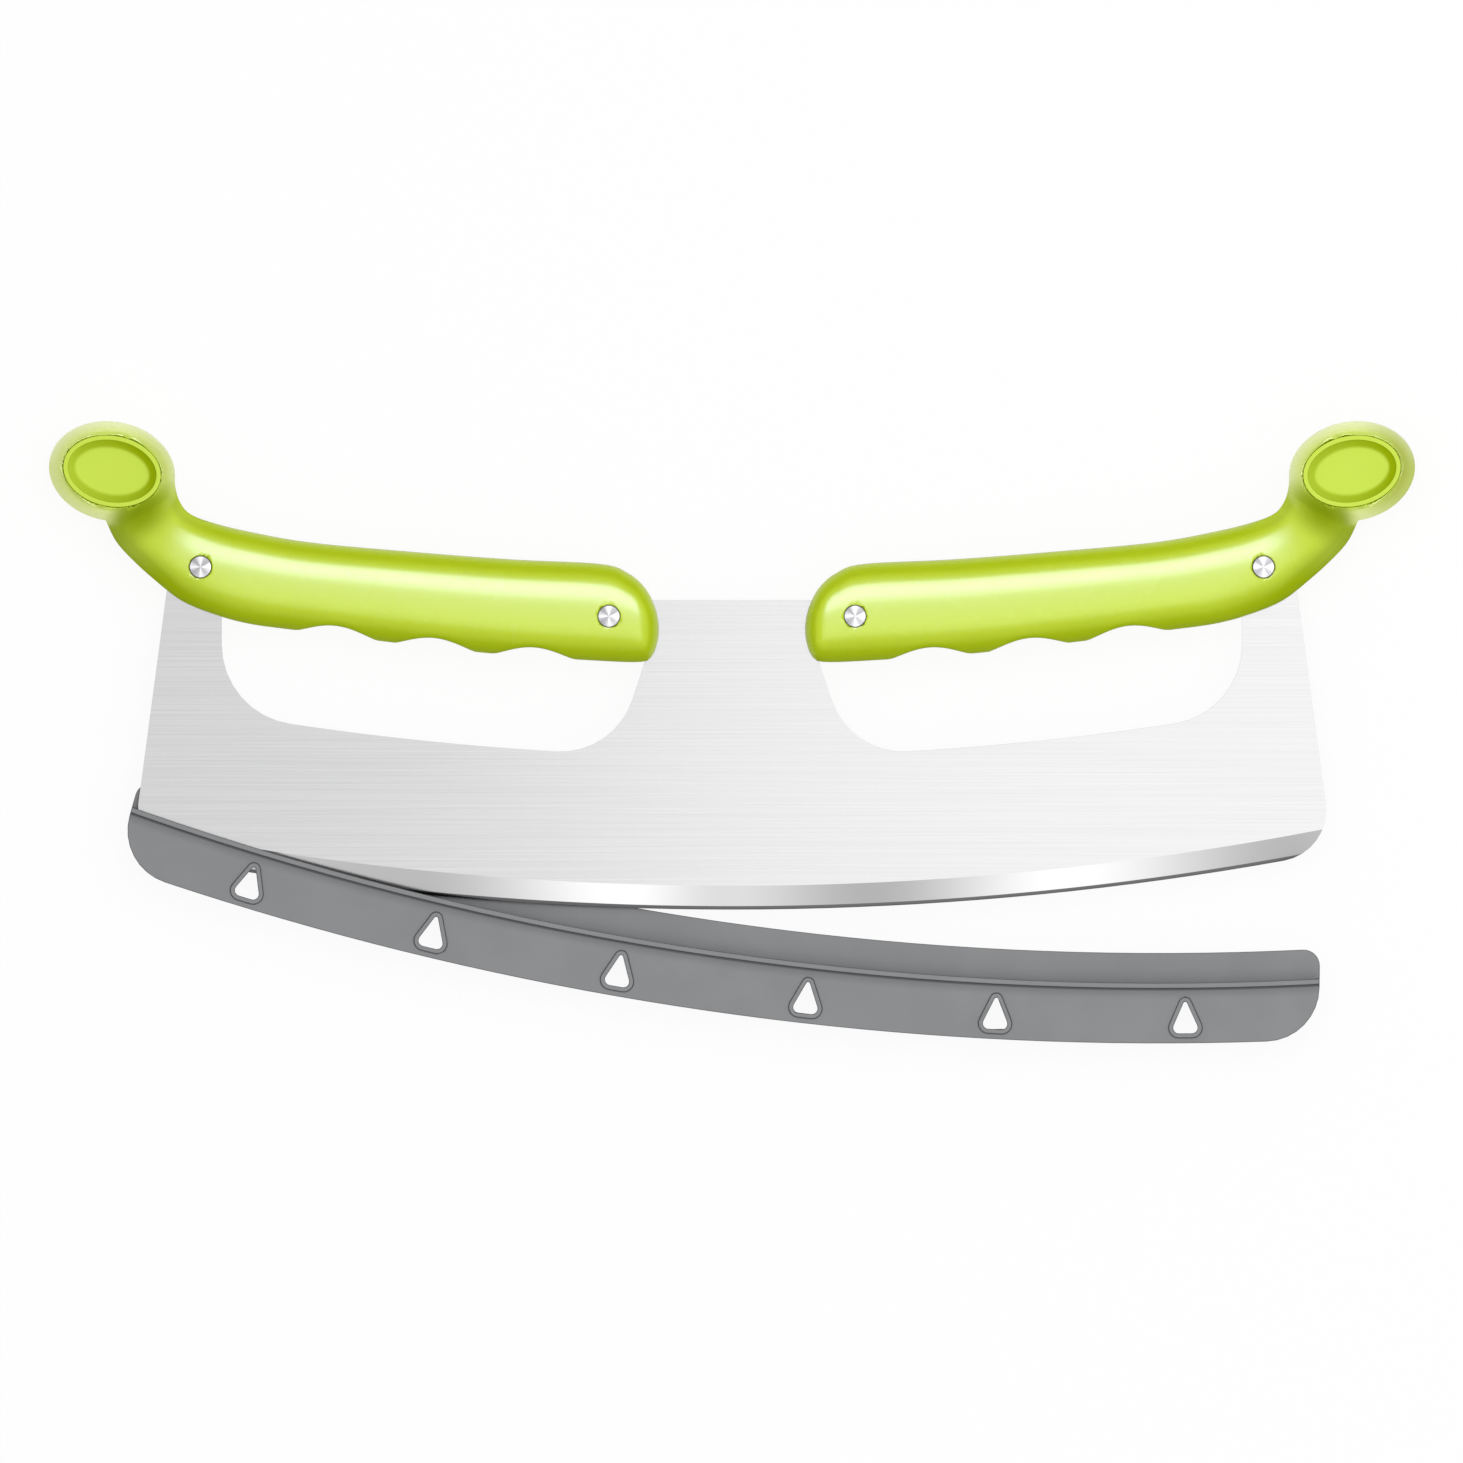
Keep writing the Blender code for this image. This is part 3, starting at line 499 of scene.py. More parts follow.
@dataclass(frozen=True)
class KnobTones:
    """How the handles' lime plastic changes at a knob: a painted pale reflection on its rim, painted shade in
    the neck's crease.
    """

    # Colours of the rim's painted pale reflection, of the painted shade over that rim, and of the crease's
    # painted shade
    pale: Colour = (0.92, 1.0, 0.46)
    pale_shade: Colour = (0.40, 0.46, 0.08)
    crease: Colour = (0.23, 0.315, 0.001)

    # The painted crease shade's place and slant, and how many times longer than wide it is
    crease_at: Pair = (153.4 * MM, 22.1 * MM)
    crease_slant: float = math.radians(141.5)
    crease_stretch: float = 1.8
    crease_reach: Pair = (0.5 * MM, 8.0 * MM)
    crease_share: float = 0.9

    # How far from the crease the plastic is dull and takes a painted pale haze, and how far painted shade
    # reaches
    dull_reach: Pair = (3 * MM, 20 * MM)
    haze_share: float = 0.1
    shade_reach: Pair = (12 * MM, 40 * MM)
    shade_share: float = 0.5

    # The rim's painted pale reflection: where it starts and ends over the oval, and where it starts from the
    # crease
    rim_start: Pair = (0.72, 0.84)
    rim_end: Pair = (1.02, 1.16)
    rim_reach: Pair = (3 * MM, 8 * MM)
    outer_start: Pair = (0.78, 0.98)

    # Shade on the rim's right: the two knobs' mean and half their difference, and on its left
    right_shade: Pair = (0.42, 0.12)
    left_shade: float = 0.12

    # How strong the rim's painted reflection and its painted shade are beside the cap, and what is added
    # towards its outside
    pale_share: float = 0.87
    pale_growth: Pair = (0.78, 0.4)
    dark_growth: Pair = (1.85, -1.1)

    # The painted shade line round the cap's joint
    line_reach: Pair = (1.0, 1.03)
    line_share: float = 0.5

    def _crease_distance(self, x: Socket, y: Socket) -> Socket:
        """Distance from the crease, shorter along it than over it.

        Args:
            x: Place along the knife.
            y: Place up the blade.

        Returns:
            The distance.
        """
        off_x = abs(x) - self.crease_at[0]
        off_y = y - (self.crease_at[1] + TOP_EDGE_Y)
        slant_cos, slant_sin = math.cos(self.crease_slant), math.sin(self.crease_slant)
        along = (off_x * slant_cos + off_y * slant_sin) / self.crease_stretch
        over = off_y * slant_cos - off_x * slant_sin
        return (along * along + over * over).root()

    def _cap_line(self, along: Socket, across: Socket, knob: Knob) -> Socket:
        """Painted shade along the pocket's edge round the cap, with a soft outside.

        Args:
            along: Place along the knob's oval, 1 at its end.
            across: Place across it, 1 at its side.
            knob: The knob.

        Returns:
            The line's strength, 1 inside it.
        """
        along = along * (knob.half_length / (knob.cap_length / 2 + knob.joint_gap))
        across = across * (knob.half_width / (knob.cap_width / 2 + knob.joint_gap))
        return 1 - (along * along + across * across).ease(*self.line_reach)

    def paint(self, graph: Graph, knob: Knob, lime: LimePlastic, shade: Socket,
              under: Socket) -> tuple[Socket, Socket]:
        """Colours a handle, with painted shade and a painted pale reflection at the knob.

        Args:
            graph: The material's graph.
            knob: The knob, for the place and size of its oval.
            lime: The plastic, for its two greens.
            shade: How much painted shade, in the deep green, its form shows.
            under: How far a face is turned from the light.

        Returns:
            The colour, and where the neck is dull.
        """
        x, y, _ = graph.split(graph.place())
        side = x / abs(x)
        outward = abs(x) - knob.centre.x
        upward = y - (knob.centre.y + TOP_EDGE_Y)
        turn_cos, turn_sin = math.cos(knob.tilt), math.sin(knob.tilt)
        along = (outward * turn_cos + upward * turn_sin) / knob.half_length
        across = (upward * turn_cos - outward * turn_sin) / knob.half_width
        share = (along * along + across * across).root()
        from_crease = self._crease_distance(x, y)
        # The rim's painted pale reflection, kept away from the crease
        rim = share.ease(*self.rim_start) * (1 - share.ease(*self.rim_end))
        rim = rim * from_crease.ease(*self.rim_reach)
        neck = (1 - from_crease.ease(*self.dull_reach)) * (1 - rim)
        # Painted shade on faces turned from the light near the neck
        shade = shade + under * (1 - from_crease.ease(*self.shade_reach)) * self.shade_share
        colour = graph.mix(shade * (1 - rim), lime.body, lime.deep)
        # Painted shade on the rim's right and left sides, where the light falls less
        rightward = (x - side * knob.centre.x) / knob.half_length
        mean_shade, more_shade = self.right_shade
        rim_shade_side = rightward.ease(0.0, 1.0) * (side * more_shade + mean_shade)
        rim_shade_side = rim_shade_side + (0 - rightward).ease(0.0, 1.0) * self.left_shade
        outer = share.ease(*self.outer_start)
        # Painted pale reflection and painted shade on the rim, and a painted pale haze on the neck
        painted_rim_reflection = rim * (self.pale_share - rim_shade_side) * (self.pale_growth[0] + outer * self.pale_growth[1])
        painted_rim_shade = rim * rim_shade_side * (self.dark_growth[0] + outer * self.dark_growth[1])
        colour = graph.mix(painted_rim_reflection + neck * self.haze_share, colour, self.pale)
        colour = graph.mix(painted_rim_shade, colour, self.pale_shade)
        # Painted shade in the neck's crease
        crease = 1 - from_crease.ease(*self.crease_reach)
        colour = graph.mix(crease * self.crease_share, colour, self.crease)
        # Painted shade line along the cap's joint
        line = self._cap_line(along, across, knob)
        return graph.mix(line * self.line_share, colour, lime.deep), neck


@dataclass(frozen=True)
class LimePlastic:
    """Glossy moulded plastic: lime green, with painted shade in a deeper green where its form turns down."""

    name: str
    body: Colour = (0.525, 0.67, 0.02)
    # The deeper green is painted shade, where the form turns away from the light
    deep: Colour = (0.33, 0.44, 0.002)
    tones: KnobTones | None = None
    roughness: float = 0.27
    roughness_change: float = 0.08
    shine: float = 0.25
    ior: float = 1.5

    # How far a face leans where the painted shade's deep green starts and where it is full, how strong it is,
    # and how much more it gets on faces turned away from the light at the upper right
    lean: Pair = (0.06, 0.28)
    lean_share: float = 0.5
    turn: Pair = (0.0, 0.0)

    # The same for walls, whose painted shade eases off again unless they face down
    wall_lean: Pair = (0.3, 0.6)
    wall_share: float = 0.6

    # How much facing out and facing the edge count as facing down, away from the light, and what painted
    # shade that adds
    under_turn: Pair = (0.5, 0.85)
    under_range: Pair = (0.05, 0.6)
    under_share: float = 0.4
    under_fade: float = 0.6

    dull_share: float = 0.8
    mottle: float = 9 * MM
    mottle_share: float = 0.1
    pore: float = 0.35 * MM
    pore_strength: float = 0.02
    pore_depth: float = 0.02 * MM

    def material(self, knob: Knob) -> bpy.types.Material:
        """Makes one green material.

        Args:
            knob: The knob, for the place and size of its oval.

        Returns:
            The material.
        """
        graph = Graph.of_material(self.name)
        x, _, _ = graph.split(graph.place())
        cloud = graph.grains(self.mottle) - 0.5
        pores = graph.grains(self.pore)
        facing_x, facing_y, level = graph.facing()
        lean = 1 - abs(level)
        facing_out = facing_x * (x / abs(x))
        under = (facing_out * self.under_turn[0] - facing_y * self.under_turn[1]).ease(*self.under_range)
        # Painted shade: deep green where a face leans or turns from the light
        edge = lean.ease(*self.lean) * (1 - lean.ease(*self.wall_lean) * (1 - under) * self.wall_share)
        turned = 1 - facing_x * self.turn[0] - facing_y * self.turn[1]
        shade = edge * turned * self.lean_share + cloud * self.mottle_share
        shade = shade + under * (1 - edge * self.under_fade) * self.under_share
        dull = edge * self.dull_share
        if self.tones is not None:
            colour, neck = self.tones.paint(graph, knob, self, shade, under)
            dull = dull + neck
        else:
            colour = graph.mix(shade, self.body, self.deep)
        return graph.finish(dull.ease(0.0, 1.0), base_color=colour, ior=self.ior,
                            specular_ior_level=self.shine,
                            roughness=self.roughness + cloud * self.roughness_change,
                            normal=graph.bump(pores, self.pore_strength, self.pore_depth))


@dataclass(frozen=True)
class GuardPlastic:
    """Satin grey plastic with the fine grain of a spark-eroded mould, and painted shade under its lip and
    along its rounded edges.
    """

    body: Colour = (0.243, 0.246, 0.253)
    light: Colour = (0.259, 0.262, 0.269)
    # The dark tone is painted shade, for the line under the lip and for the rounded edges
    dark: Colour = (0.085, 0.087, 0.091)
    roughness: float = 0.5
    roughness_change: float = 0.2
    shine: float = 0.2
    ior: float = 1.46
    mottle: float = 14 * MM
    mottle_range: Pair = (0.3, 0.75)
    pore: float = 0.3 * MM
    pore_strength: float = 0.2
    pore_depth: float = 0.03 * MM

    # The painted dark shadow line and the soft painted shade under the lip, on the front wall alone
    line_start: Pair = (-0.05 * MM, 0.05 * MM)
    line_end: Pair = (0.35 * MM, 0.7 * MM)
    line_share: float = 0.95
    shade_width: float = 3.2 * MM
    shade_share: float = 0.4
    front_depth: float = 0.5 * MM

    # How far a rounded edge leans where its painted shade starts and where it is darkest
    edge_lean: Pair = (0.005, 0.15)
    edge_share: float = 0.85

    def material(self, guard: Guard) -> bpy.types.Material:
        """Makes the guard's material.

        Args:
            guard: The guard, for the place of its lip.

        Returns:
            The material.
        """
        graph = Graph.of_material("guard_satin_plastic")
        x, y, z = graph.split(graph.place())
        cloud = graph.grains(self.mottle)
        pores = graph.grains(self.pore, detail=3.0)
        centre = guard.arc_centre
        # Painted shadow: a dark line and a soft shade just under the lip
        below_lip = ((x - centre.x) ** 2 + (y - centre.y) ** 2).root() - guard.lip_radius
        in_front = z.ease(MID_HEIGHT, MID_HEIGHT + self.front_depth)
        started = below_lip.ease(*self.line_start) * in_front
        line = started * (1 - below_lip.ease(*self.line_end))
        soft = started * (1 - below_lip.ease(0.0, self.shade_width)) * (1 - line)
        # Painted shade along the rounded edges
        _, _, level = graph.facing()
        edge = (1 - abs(level)).ease(*self.edge_lean)
        colour = graph.mix(cloud.ease(*self.mottle_range), self.body, self.light)
        colour = graph.mix(line * self.line_share + soft * self.shade_share, colour, self.dark)
        colour = graph.mix(edge * self.edge_share, colour, self.dark)
        return graph.finish(base_color=colour, ior=self.ior, specular_ior_level=self.shine,
                            roughness=self.roughness + (pores - 0.5) * self.roughness_change,
                            normal=graph.bump(pores, self.pore_strength, self.pore_depth))


def mesh_from(name: str, verts: Sequence[Point], faces: Sequence[Sequence[int]]) -> bpy.types.Mesh:
    """A mesh with its faces turned outwards.

    Args:
        name: The mesh's name.
        verts: Places of its points.
        faces: Points of each face.

    Returns:
        The mesh.
    """
    mesh = bpy.data.meshes.new(name)
    mesh.from_pydata(verts, [], faces)
    work = bmesh.new()
    work.from_mesh(mesh)
    bmesh.ops.recalc_face_normals(work, faces=work.faces)
    work.to_mesh(mesh)
    work.free()
    return mesh


def stacked(name: str, loops: Sequence[Sequence[Point]]) -> bpy.types.Mesh:
    """Skins closed loops of equal length, with a flat face over the first and the last.

    Args:
        name: The mesh's name.
        loops: The loops, each a list of places.

    Returns:
        The closed mesh.
    """
    count = len(loops[0])
    verts = [p for loop in loops for p in loop]
    faces: list[list[int]] = [list(range(count)), list(range(len(verts) - count, len(verts)))]
    for row in range(len(loops) - 1):
        for i in range(count):
            j = (i + 1) % count
            faces.append([row * count + i, row * count + j, (row + 1) * count + j, (row + 1) * count + i])
    return mesh_from(name, verts, faces)


def add_object(name: str, mesh: bpy.types.Mesh) -> bpy.types.Object:
    """Puts a mesh in the scene.

    Args:
        name: The object's name.
        mesh: Its mesh.

    Returns:
        The object.
    """
    thing = bpy.data.objects.new(name, mesh)
    bpy.context.scene.collection.objects.link(thing)
    return thing


def shade_round(thing: bpy.types.Object, crisp: float) -> None:
    """Smooth shading, but for edges where the faces turn by more than an angle."""
    thing.data.shade_smooth()
    thing.data.set_sharp_from_angle(angle=crisp)


def shade_sheet(thing: bpy.types.Object) -> None:
    """Smooth shading that leaves the faces along the floor's plane flat.

    Args:
        thing: The object.
    """
    shade_round(thing, SHEET_EDGE)
    for face in thing.data.polygons:
        face.use_smooth = abs(face.normal.z) < LEVEL


def settle(thing: bpy.types.Object) -> None:
    """Applies the object's modifiers to its mesh.

    Args:
        thing: The object.
    """
    shaped = thing.evaluated_get(bpy.context.evaluated_depsgraph_get())
    mesh = bpy.data.meshes.new_from_object(shaped)
    thing.modifiers.clear()
    thing.data = mesh


def soften_edges(thing: bpy.types.Object, width: float, faces: int) -> None:
    """Rounds an object's sharp edges and shades it.

    Args:
        thing: The object.
        width: The rounding's width.
        faces: How many faces the rounding has across.
    """
    softened = thing.modifiers.new("soft_edges", "BEVEL")
    softened.width = width
    softened.segments = faces
    softened.limit_method = "ANGLE"
    softened.angle_limit = SHARP_EDGE
    softened.use_clamp_overlap = False
    settle(thing)
    shade_sheet(thing)


def even_normals(thing: bpy.types.Object) -> None:
    """Weights the shading by the faces' sizes, so that slivers beside a cut leave no smear.

    Args:
        thing: The object.
    """
    evened = thing.modifiers.new("even_normals", "WEIGHTED_NORMAL")
    evened.keep_sharp = True
    settle(thing)


def carve(thing: bpy.types.Object, cutters: Sequence[bpy.types.Object]) -> None:
    """Cuts solids out of an object and deletes them.

    Args:
        thing: The object to cut.
        cutters: Closed solids to take away.
    """
    for cutter in cutters:
        boolean = thing.modifiers.new(cutter.name, "BOOLEAN")
        boolean.operation = "DIFFERENCE"
        boolean.solver = "EXACT"
        boolean.object = cutter
    settle(thing)
    for cutter in cutters:
        bpy.data.objects.remove(cutter, do_unlink=True)


def dress(thing: bpy.types.Object, material: bpy.types.Material, body: str, slot: str, *nodes: str) -> None:
    """Gives a piece its material and its body, and hides the frame's nodes that it stands for.

    Args:
        thing: The piece.
        material: Its finish.
        body: The frame's body that it rides on.
        slot: The record's material slot; not used.
        nodes: The nodes that it replaces.
    """
    thing.data.materials.clear()
    thing.data.materials.append(material)
    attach(thing, body)
    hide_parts(*nodes)
    LOG.info("%s: %d faces, for %s", thing.name, len(thing.data.polygons), ", ".join(nodes))


def merged_copy(node: str, name: str, join_angle: float = 0.0) -> bpy.types.Object:
    """A new object from a frame node's mesh, with its points merged and its flat faces joined.

    Args:
        node: The frame's node.
        name: The new object's name.
        join_angle: Faces that meet at less than this many radians are joined.

    Returns:
        The new object.
    """
    mesh = FRAME["nodes"][node].data.copy()
    mesh.name = name
    work = bmesh.new()
    work.from_mesh(mesh)
    bmesh.ops.remove_doubles(work, verts=work.verts, dist=MERGE_REACH)
    if join_angle:
        bmesh.ops.dissolve_limit(work, angle_limit=join_angle, verts=work.verts, edges=work.edges)
    work.to_mesh(mesh)
    work.free()
    return add_object(name, mesh)


def smooth_curve(points: Sequence[Vector], steps: int, lead_in: Vector | None = None,
                 lead_out: Vector | None = None) -> list[Vector]:
    """Evenly spaced points on a Catmull-Rom curve.

    Args:
        points: The places that the curve passes.
        steps: How many equal steps it is cut into.
        lead_in: The place that it would come from.
        lead_out: The place that it would go to.

    Returns:
        Its points, one more than the steps.
    """
    knots = [lead_in or 2 * points[0] - points[1], *points, lead_out or 2 * points[-1] - points[-2]]
    dense = []
    for a, b, c, d in zip(knots, knots[1:], knots[2:], knots[3:]):
        for k in range(CURVE_SAMPLES):
            t = k / CURVE_SAMPLES
            dense.append(0.5 * (2 * b + (c - a) * t + (2 * a - 5 * b + 4 * c - d) * t * t
                                + (3 * b - a - 3 * c + d) * t ** 3))
    dense.append(points[-1])
    lengths = [0.0]
    for first, second in zip(dense, dense[1:]):
        lengths.append(lengths[-1] + (second - first).length)
    result = []
    k = 0
    for i in range(steps + 1):
        want = lengths[-1] * i / steps
        while k < len(dense) - 2 and lengths[k + 1] < want:
            k += 1
        result.append(dense[k].lerp(dense[k + 1], (want - lengths[k]) / (lengths[k + 1] - lengths[k])))
    return result


def smooth_step(value: float) -> float:
    """A smooth step between 0 and 1."""
    value = max(0.0, min(1.0, value))
    return value * value * (3 - 2 * value)


def bulge(share: float, fullness: float = 2.0) -> float:
    """Height of a rounded edge: 0 at the rim, 1 where the rounding ends. A fullness of 2 is a circle's."""
    share = max(0.0, min(1.0, share))
    return (1 - (1 - share) ** fullness) ** (1 / fullness)


def circle(at: Vector, radius: float, steps: int) -> list[Vector]:
    """Points round a circle in plan."""
    turns = [2 * math.pi * i / steps for i in range(steps)]
    return [at + radius * Vector((math.cos(turn), math.sin(turn))) for turn in turns]


@dataclass(frozen=True)
class Blade:
    """The sheet-steel blade with its curved ground edge and its two finger openings."""

    depth: float = 80.5 * MM
    edge_radius: float = 816.7 * MM
    bevel_height: float = 6.2 * MM
    honed_height: float = 0.9 * MM
    edge_break: float = 0.07 * MM
    edge_faces: int = 2

    @property
    def top_edge_y(self) -> float:
        """Height in plan of the blade's top edge, from the frame."""
        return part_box("blade")[0].y + self.depth

    @property
    def arc_centre_y(self) -> float:
        """Height in plan of the centre that the edge curves about."""
        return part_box("blade")[0].y + self.edge_radius

    @property
    def mid_height(self) -> float:
        """Middle of the sheet's thickness over the floor."""
        low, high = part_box("blade")
        return (low.z + high.z) / 2

    def build(self, finish: BrushedSteel) -> None:
        """Models the sheet and dresses it.

        Args:
            finish: The steel's finish.
        """
        sheet = merged_copy("blade", "blade_sheet", FLAT_JOIN)
        soften_edges(sheet, self.edge_break, self.edge_faces)
        dress(sheet, finish.material(self), "knife", "blade_steel", "blade")

    def cutter(self, room: float) -> bpy.types.Object:
        """The blade's solid grown by a clearance, to cut the handles' tang pockets.

        Args:
            room: The clearance.

        Returns:
            The solid.
        """
        solid = merged_copy("blade", "tang_cutter")
        for point in solid.data.vertices:
            point.co += point.normal * room
        return solid


TOP_EDGE_Y = Blade().top_edge_y
MID_HEIGHT = Blade().mid_height


def in_frame(point: Vector, side: Side, face: Face, height: float) -> Point:
    """A plan place and a height over the middle plane, as a place in the frame.

    Args:
        point: Right-hand place from the middle of the blade's top edge.
        side: The knife's end.
        face: The blade's face.
        height: Height over the sheet's middle plane.

    Returns:
        The place in the frame.
    """
    return side.value * point.x, point.y + TOP_EDGE_Y, MID_HEIGHT + face.value * height


def plan_solid(name: str, outline: Sequence[Vector], side: Side, face: Face,
               levels: Pair) -> bpy.types.Object:
    """A straight solid over a plan outline.

    Args:
        name: The solid's name.
        outline: Right-hand places round it.
        side: The knife's end.
        face: The blade's face.
        levels: Its lowest and highest height over the middle plane.

    Returns:
        The solid.
    """
    return add_object(name, stacked(name, [[in_frame(p, side, face, z) for p in outline] for z in levels]))


@dataclass(frozen=True)
class Knob:
    """The oval knob at a handle's outer end, with its dished cap."""

    centre: Vector = Vector((161.2 * MM, 33.5 * MM)).freeze()
    tilt: float = math.radians(10.4)
    half_thickness: float = 10.6 * MM
    rounding: float = 3.7 * MM

    # The cap: its oval, its height and how far it stands over the knob
    cap_length: float = 25.6 * MM
    cap_width: float = 18.4 * MM
    cap_height: float = 4.6 * MM
    cap_proud: float = 0.4 * MM

    # Its flat rim, and the slope from there into the dish
    rim_width: float = 1.2 * MM
    rim_rounding: float = 0.14 * MM
    slope: float = 2.6 * MM
    slope_fullness: float = 1.6
    recess: float = 2.0 * MM

    # The line round it, and the steps of its rounded forms
    joint_gap: float = 0.04 * MM
    oval_steps: int = 128
    rim_steps: int = 4
    slope_steps: int = 8

    @property
    def half_length(self) -> float:
        """Half the knob's length."""
        return self.cap_length / 2 + self.rounding

    @property
    def half_width(self) -> float:
        """Half the knob's width."""
        return self.cap_width / 2 + self.rounding

    def oval_point(self, angle: float, long_radius: float, short_radius: float, inset: float = 0.0) -> Vector:
        """A point of a tilted oval about the knob's centre.

        Args:
            angle: The oval's own angle.
            long_radius: Half its length.
            short_radius: Half its width.
            inset: How far the point moves inwards along the oval's normal.

        Returns:
            The point in plan.
        """
        point = Vector((long_radius * math.cos(angle), short_radius * math.sin(angle)))
        normal = Vector((math.cos(angle) / long_radius, math.sin(angle) / short_radius)).normalized()
        return self.centre + Matrix.Rotation(self.tilt, 2) @ (point - normal * inset)

    def cap_outline(self, inset: float) -> list[Vector]:
        """The cap's outline, moved inwards."""
        turns = [2 * math.pi * i / self.oval_steps for i in range(self.oval_steps)]
        return [self.oval_point(turn, self.cap_length / 2, self.cap_width / 2, inset) for turn in turns]

    def angle_of(self, point: Vector) -> float:
        """The oval's own angle of a place."""
        local = Matrix.Rotation(-self.tilt, 2) @ (point - self.centre)
        return math.atan2(local.y / self.half_width, local.x / self.half_length)

    def share_of(self, point: Vector) -> float:
        """0 at the knob's middle, 1 on its outline."""
        local = Matrix.Rotation(-self.tilt, 2) @ (point - self.centre)
        return math.hypot(local.x / self.half_length, local.y / self.half_width)

    def cap_sections(self) -> list[Pair]:
        """The cap's profile, from its underside over its rim to the dish's floor.

        Returns:
            Pairs of an inset and a height over the middle plane.
        """
        top = self.half_thickness + self.cap_proud
        rolls = [math.pi / 2 * i / self.rim_steps for i in range(self.rim_steps + 1)]
        r = self.rim_rounding
        profile = [(0.0, top - self.cap_height)]
        profile += [(r - r * math.cos(roll), top - r + r * math.sin(roll)) for roll in rolls]
        profile += [(self.rim_width - r + r * math.sin(roll), top - r + r * math.cos(roll)) for roll in rolls]
        for i in range(1, self.slope_steps + 1):
            share = i / self.slope_steps
            fall = r + (self.recess - r) * (1 - (1 - share) ** self.slope_fullness)
            profile.append((self.rim_width + self.slope * share, top - fall))
        return profile

    def build_cap(self, side: Side, face: Face, material: bpy.types.Material) -> None:
        """Models one dished cap and dresses it.

        Args:
            side: The knife's end.
            face: The blade's face.
            material: The green finish.
        """
        name = f"cap_{side.word}_{face.word}"
        loops = [[in_frame(p, side, face, height) for p in self.cap_outline(inset)]
                 for inset, height in self.cap_sections()]
        cap = add_object(name, stacked(name, loops))
        shade_round(cap, MOULDED_EDGE)
        dress(cap, material, "knife", "cap_plastic", f"knob_cap_{side.word}_{face.word}")


@dataclass(frozen=True)
class Rivet:
    """A two-part rivet: a pin with a spun head in front and a headed sleeve from the back."""

    head_radius: float = 2.9 * MM
    head_thickness: float = 1.4 * MM
    head_rounding: float = 0.3 * MM
    hub_radius: float = 0.145 * MM
    dome: float = 0.04 * MM
    pin_radius: float = 1.2 * MM
    wall: float = 0.7 * MM
    gap: float = 0.3 * MM
    head_gap: float = 0.1 * MM
    steps: int = 72
    rounding_steps: int = 4

    def _head(self, top: float) -> list[Pair]:
        """The head's profile, from its rounded rim up to its slightly domed middle.

        Args:
            top: Height of the middle.

        Returns:
            Pairs of a radius and a height.
        """
        r = self.head_rounding
        rolls = [math.pi / 2 * i / self.rounding_steps for i in range(self.rounding_steps + 1)]
        shoulder = top - self.dome
        inset = self.head_radius - r
        rim = [(inset + r * math.cos(roll), shoulder - r + r * math.sin(roll)) for roll in rolls]
        halfway = (self.head_radius / 2, top - self.dome / 4)
        return [*rim, halfway, (self.hub_radius, top)]

    def build(self, side: Side, place: Place, material: bpy.types.Material) -> None:
        """Models one rivet's two parts about its own axis, and dresses them.

        Args:
            side: The knife's end.
            place: Which of the handle's two rivets it is.
            material: The spun steel.
        """
        pin_node, sleeve_node = (f"rivet_{part}_{side.word}_{place.value}" for part in ("pin", "sleeve"))
        low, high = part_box(pin_node)
        axis = Vector(((low.x + high.x) / 2, (low.y + high.y) / 2, MID_HEIGHT))
        top = high.z - MID_HEIGHT
        under = top - self.head_thickness
        bore = self.pin_radius + self.gap
        outside = bore + self.wall
        tip = self.gap - under
        pin = [(self.pin_radius, tip), (self.pin_radius, under), (self.head_radius, under)]
        sleeve = [(bore, under), (bore, tip), (outside, tip), (outside, under), (self.head_radius, under)]
        for node, shank, face in ((pin_node, pin, Face.FRONT), (sleeve_node, sleeve, Face.BACK)):
            loops = [[(*p, face.value * height) for p in circle(Vector((0.0, 0.0)), radius, self.steps)]
                     for radius, height in (*shank, *self._head(top))]
            part = add_object(node.replace("rivet_", "spun_"), stacked(node, loops))
            part.location = axis
            shade_round(part, TURNED_EDGE)
            dress(part, material, "knife", "rivet_steel", node)


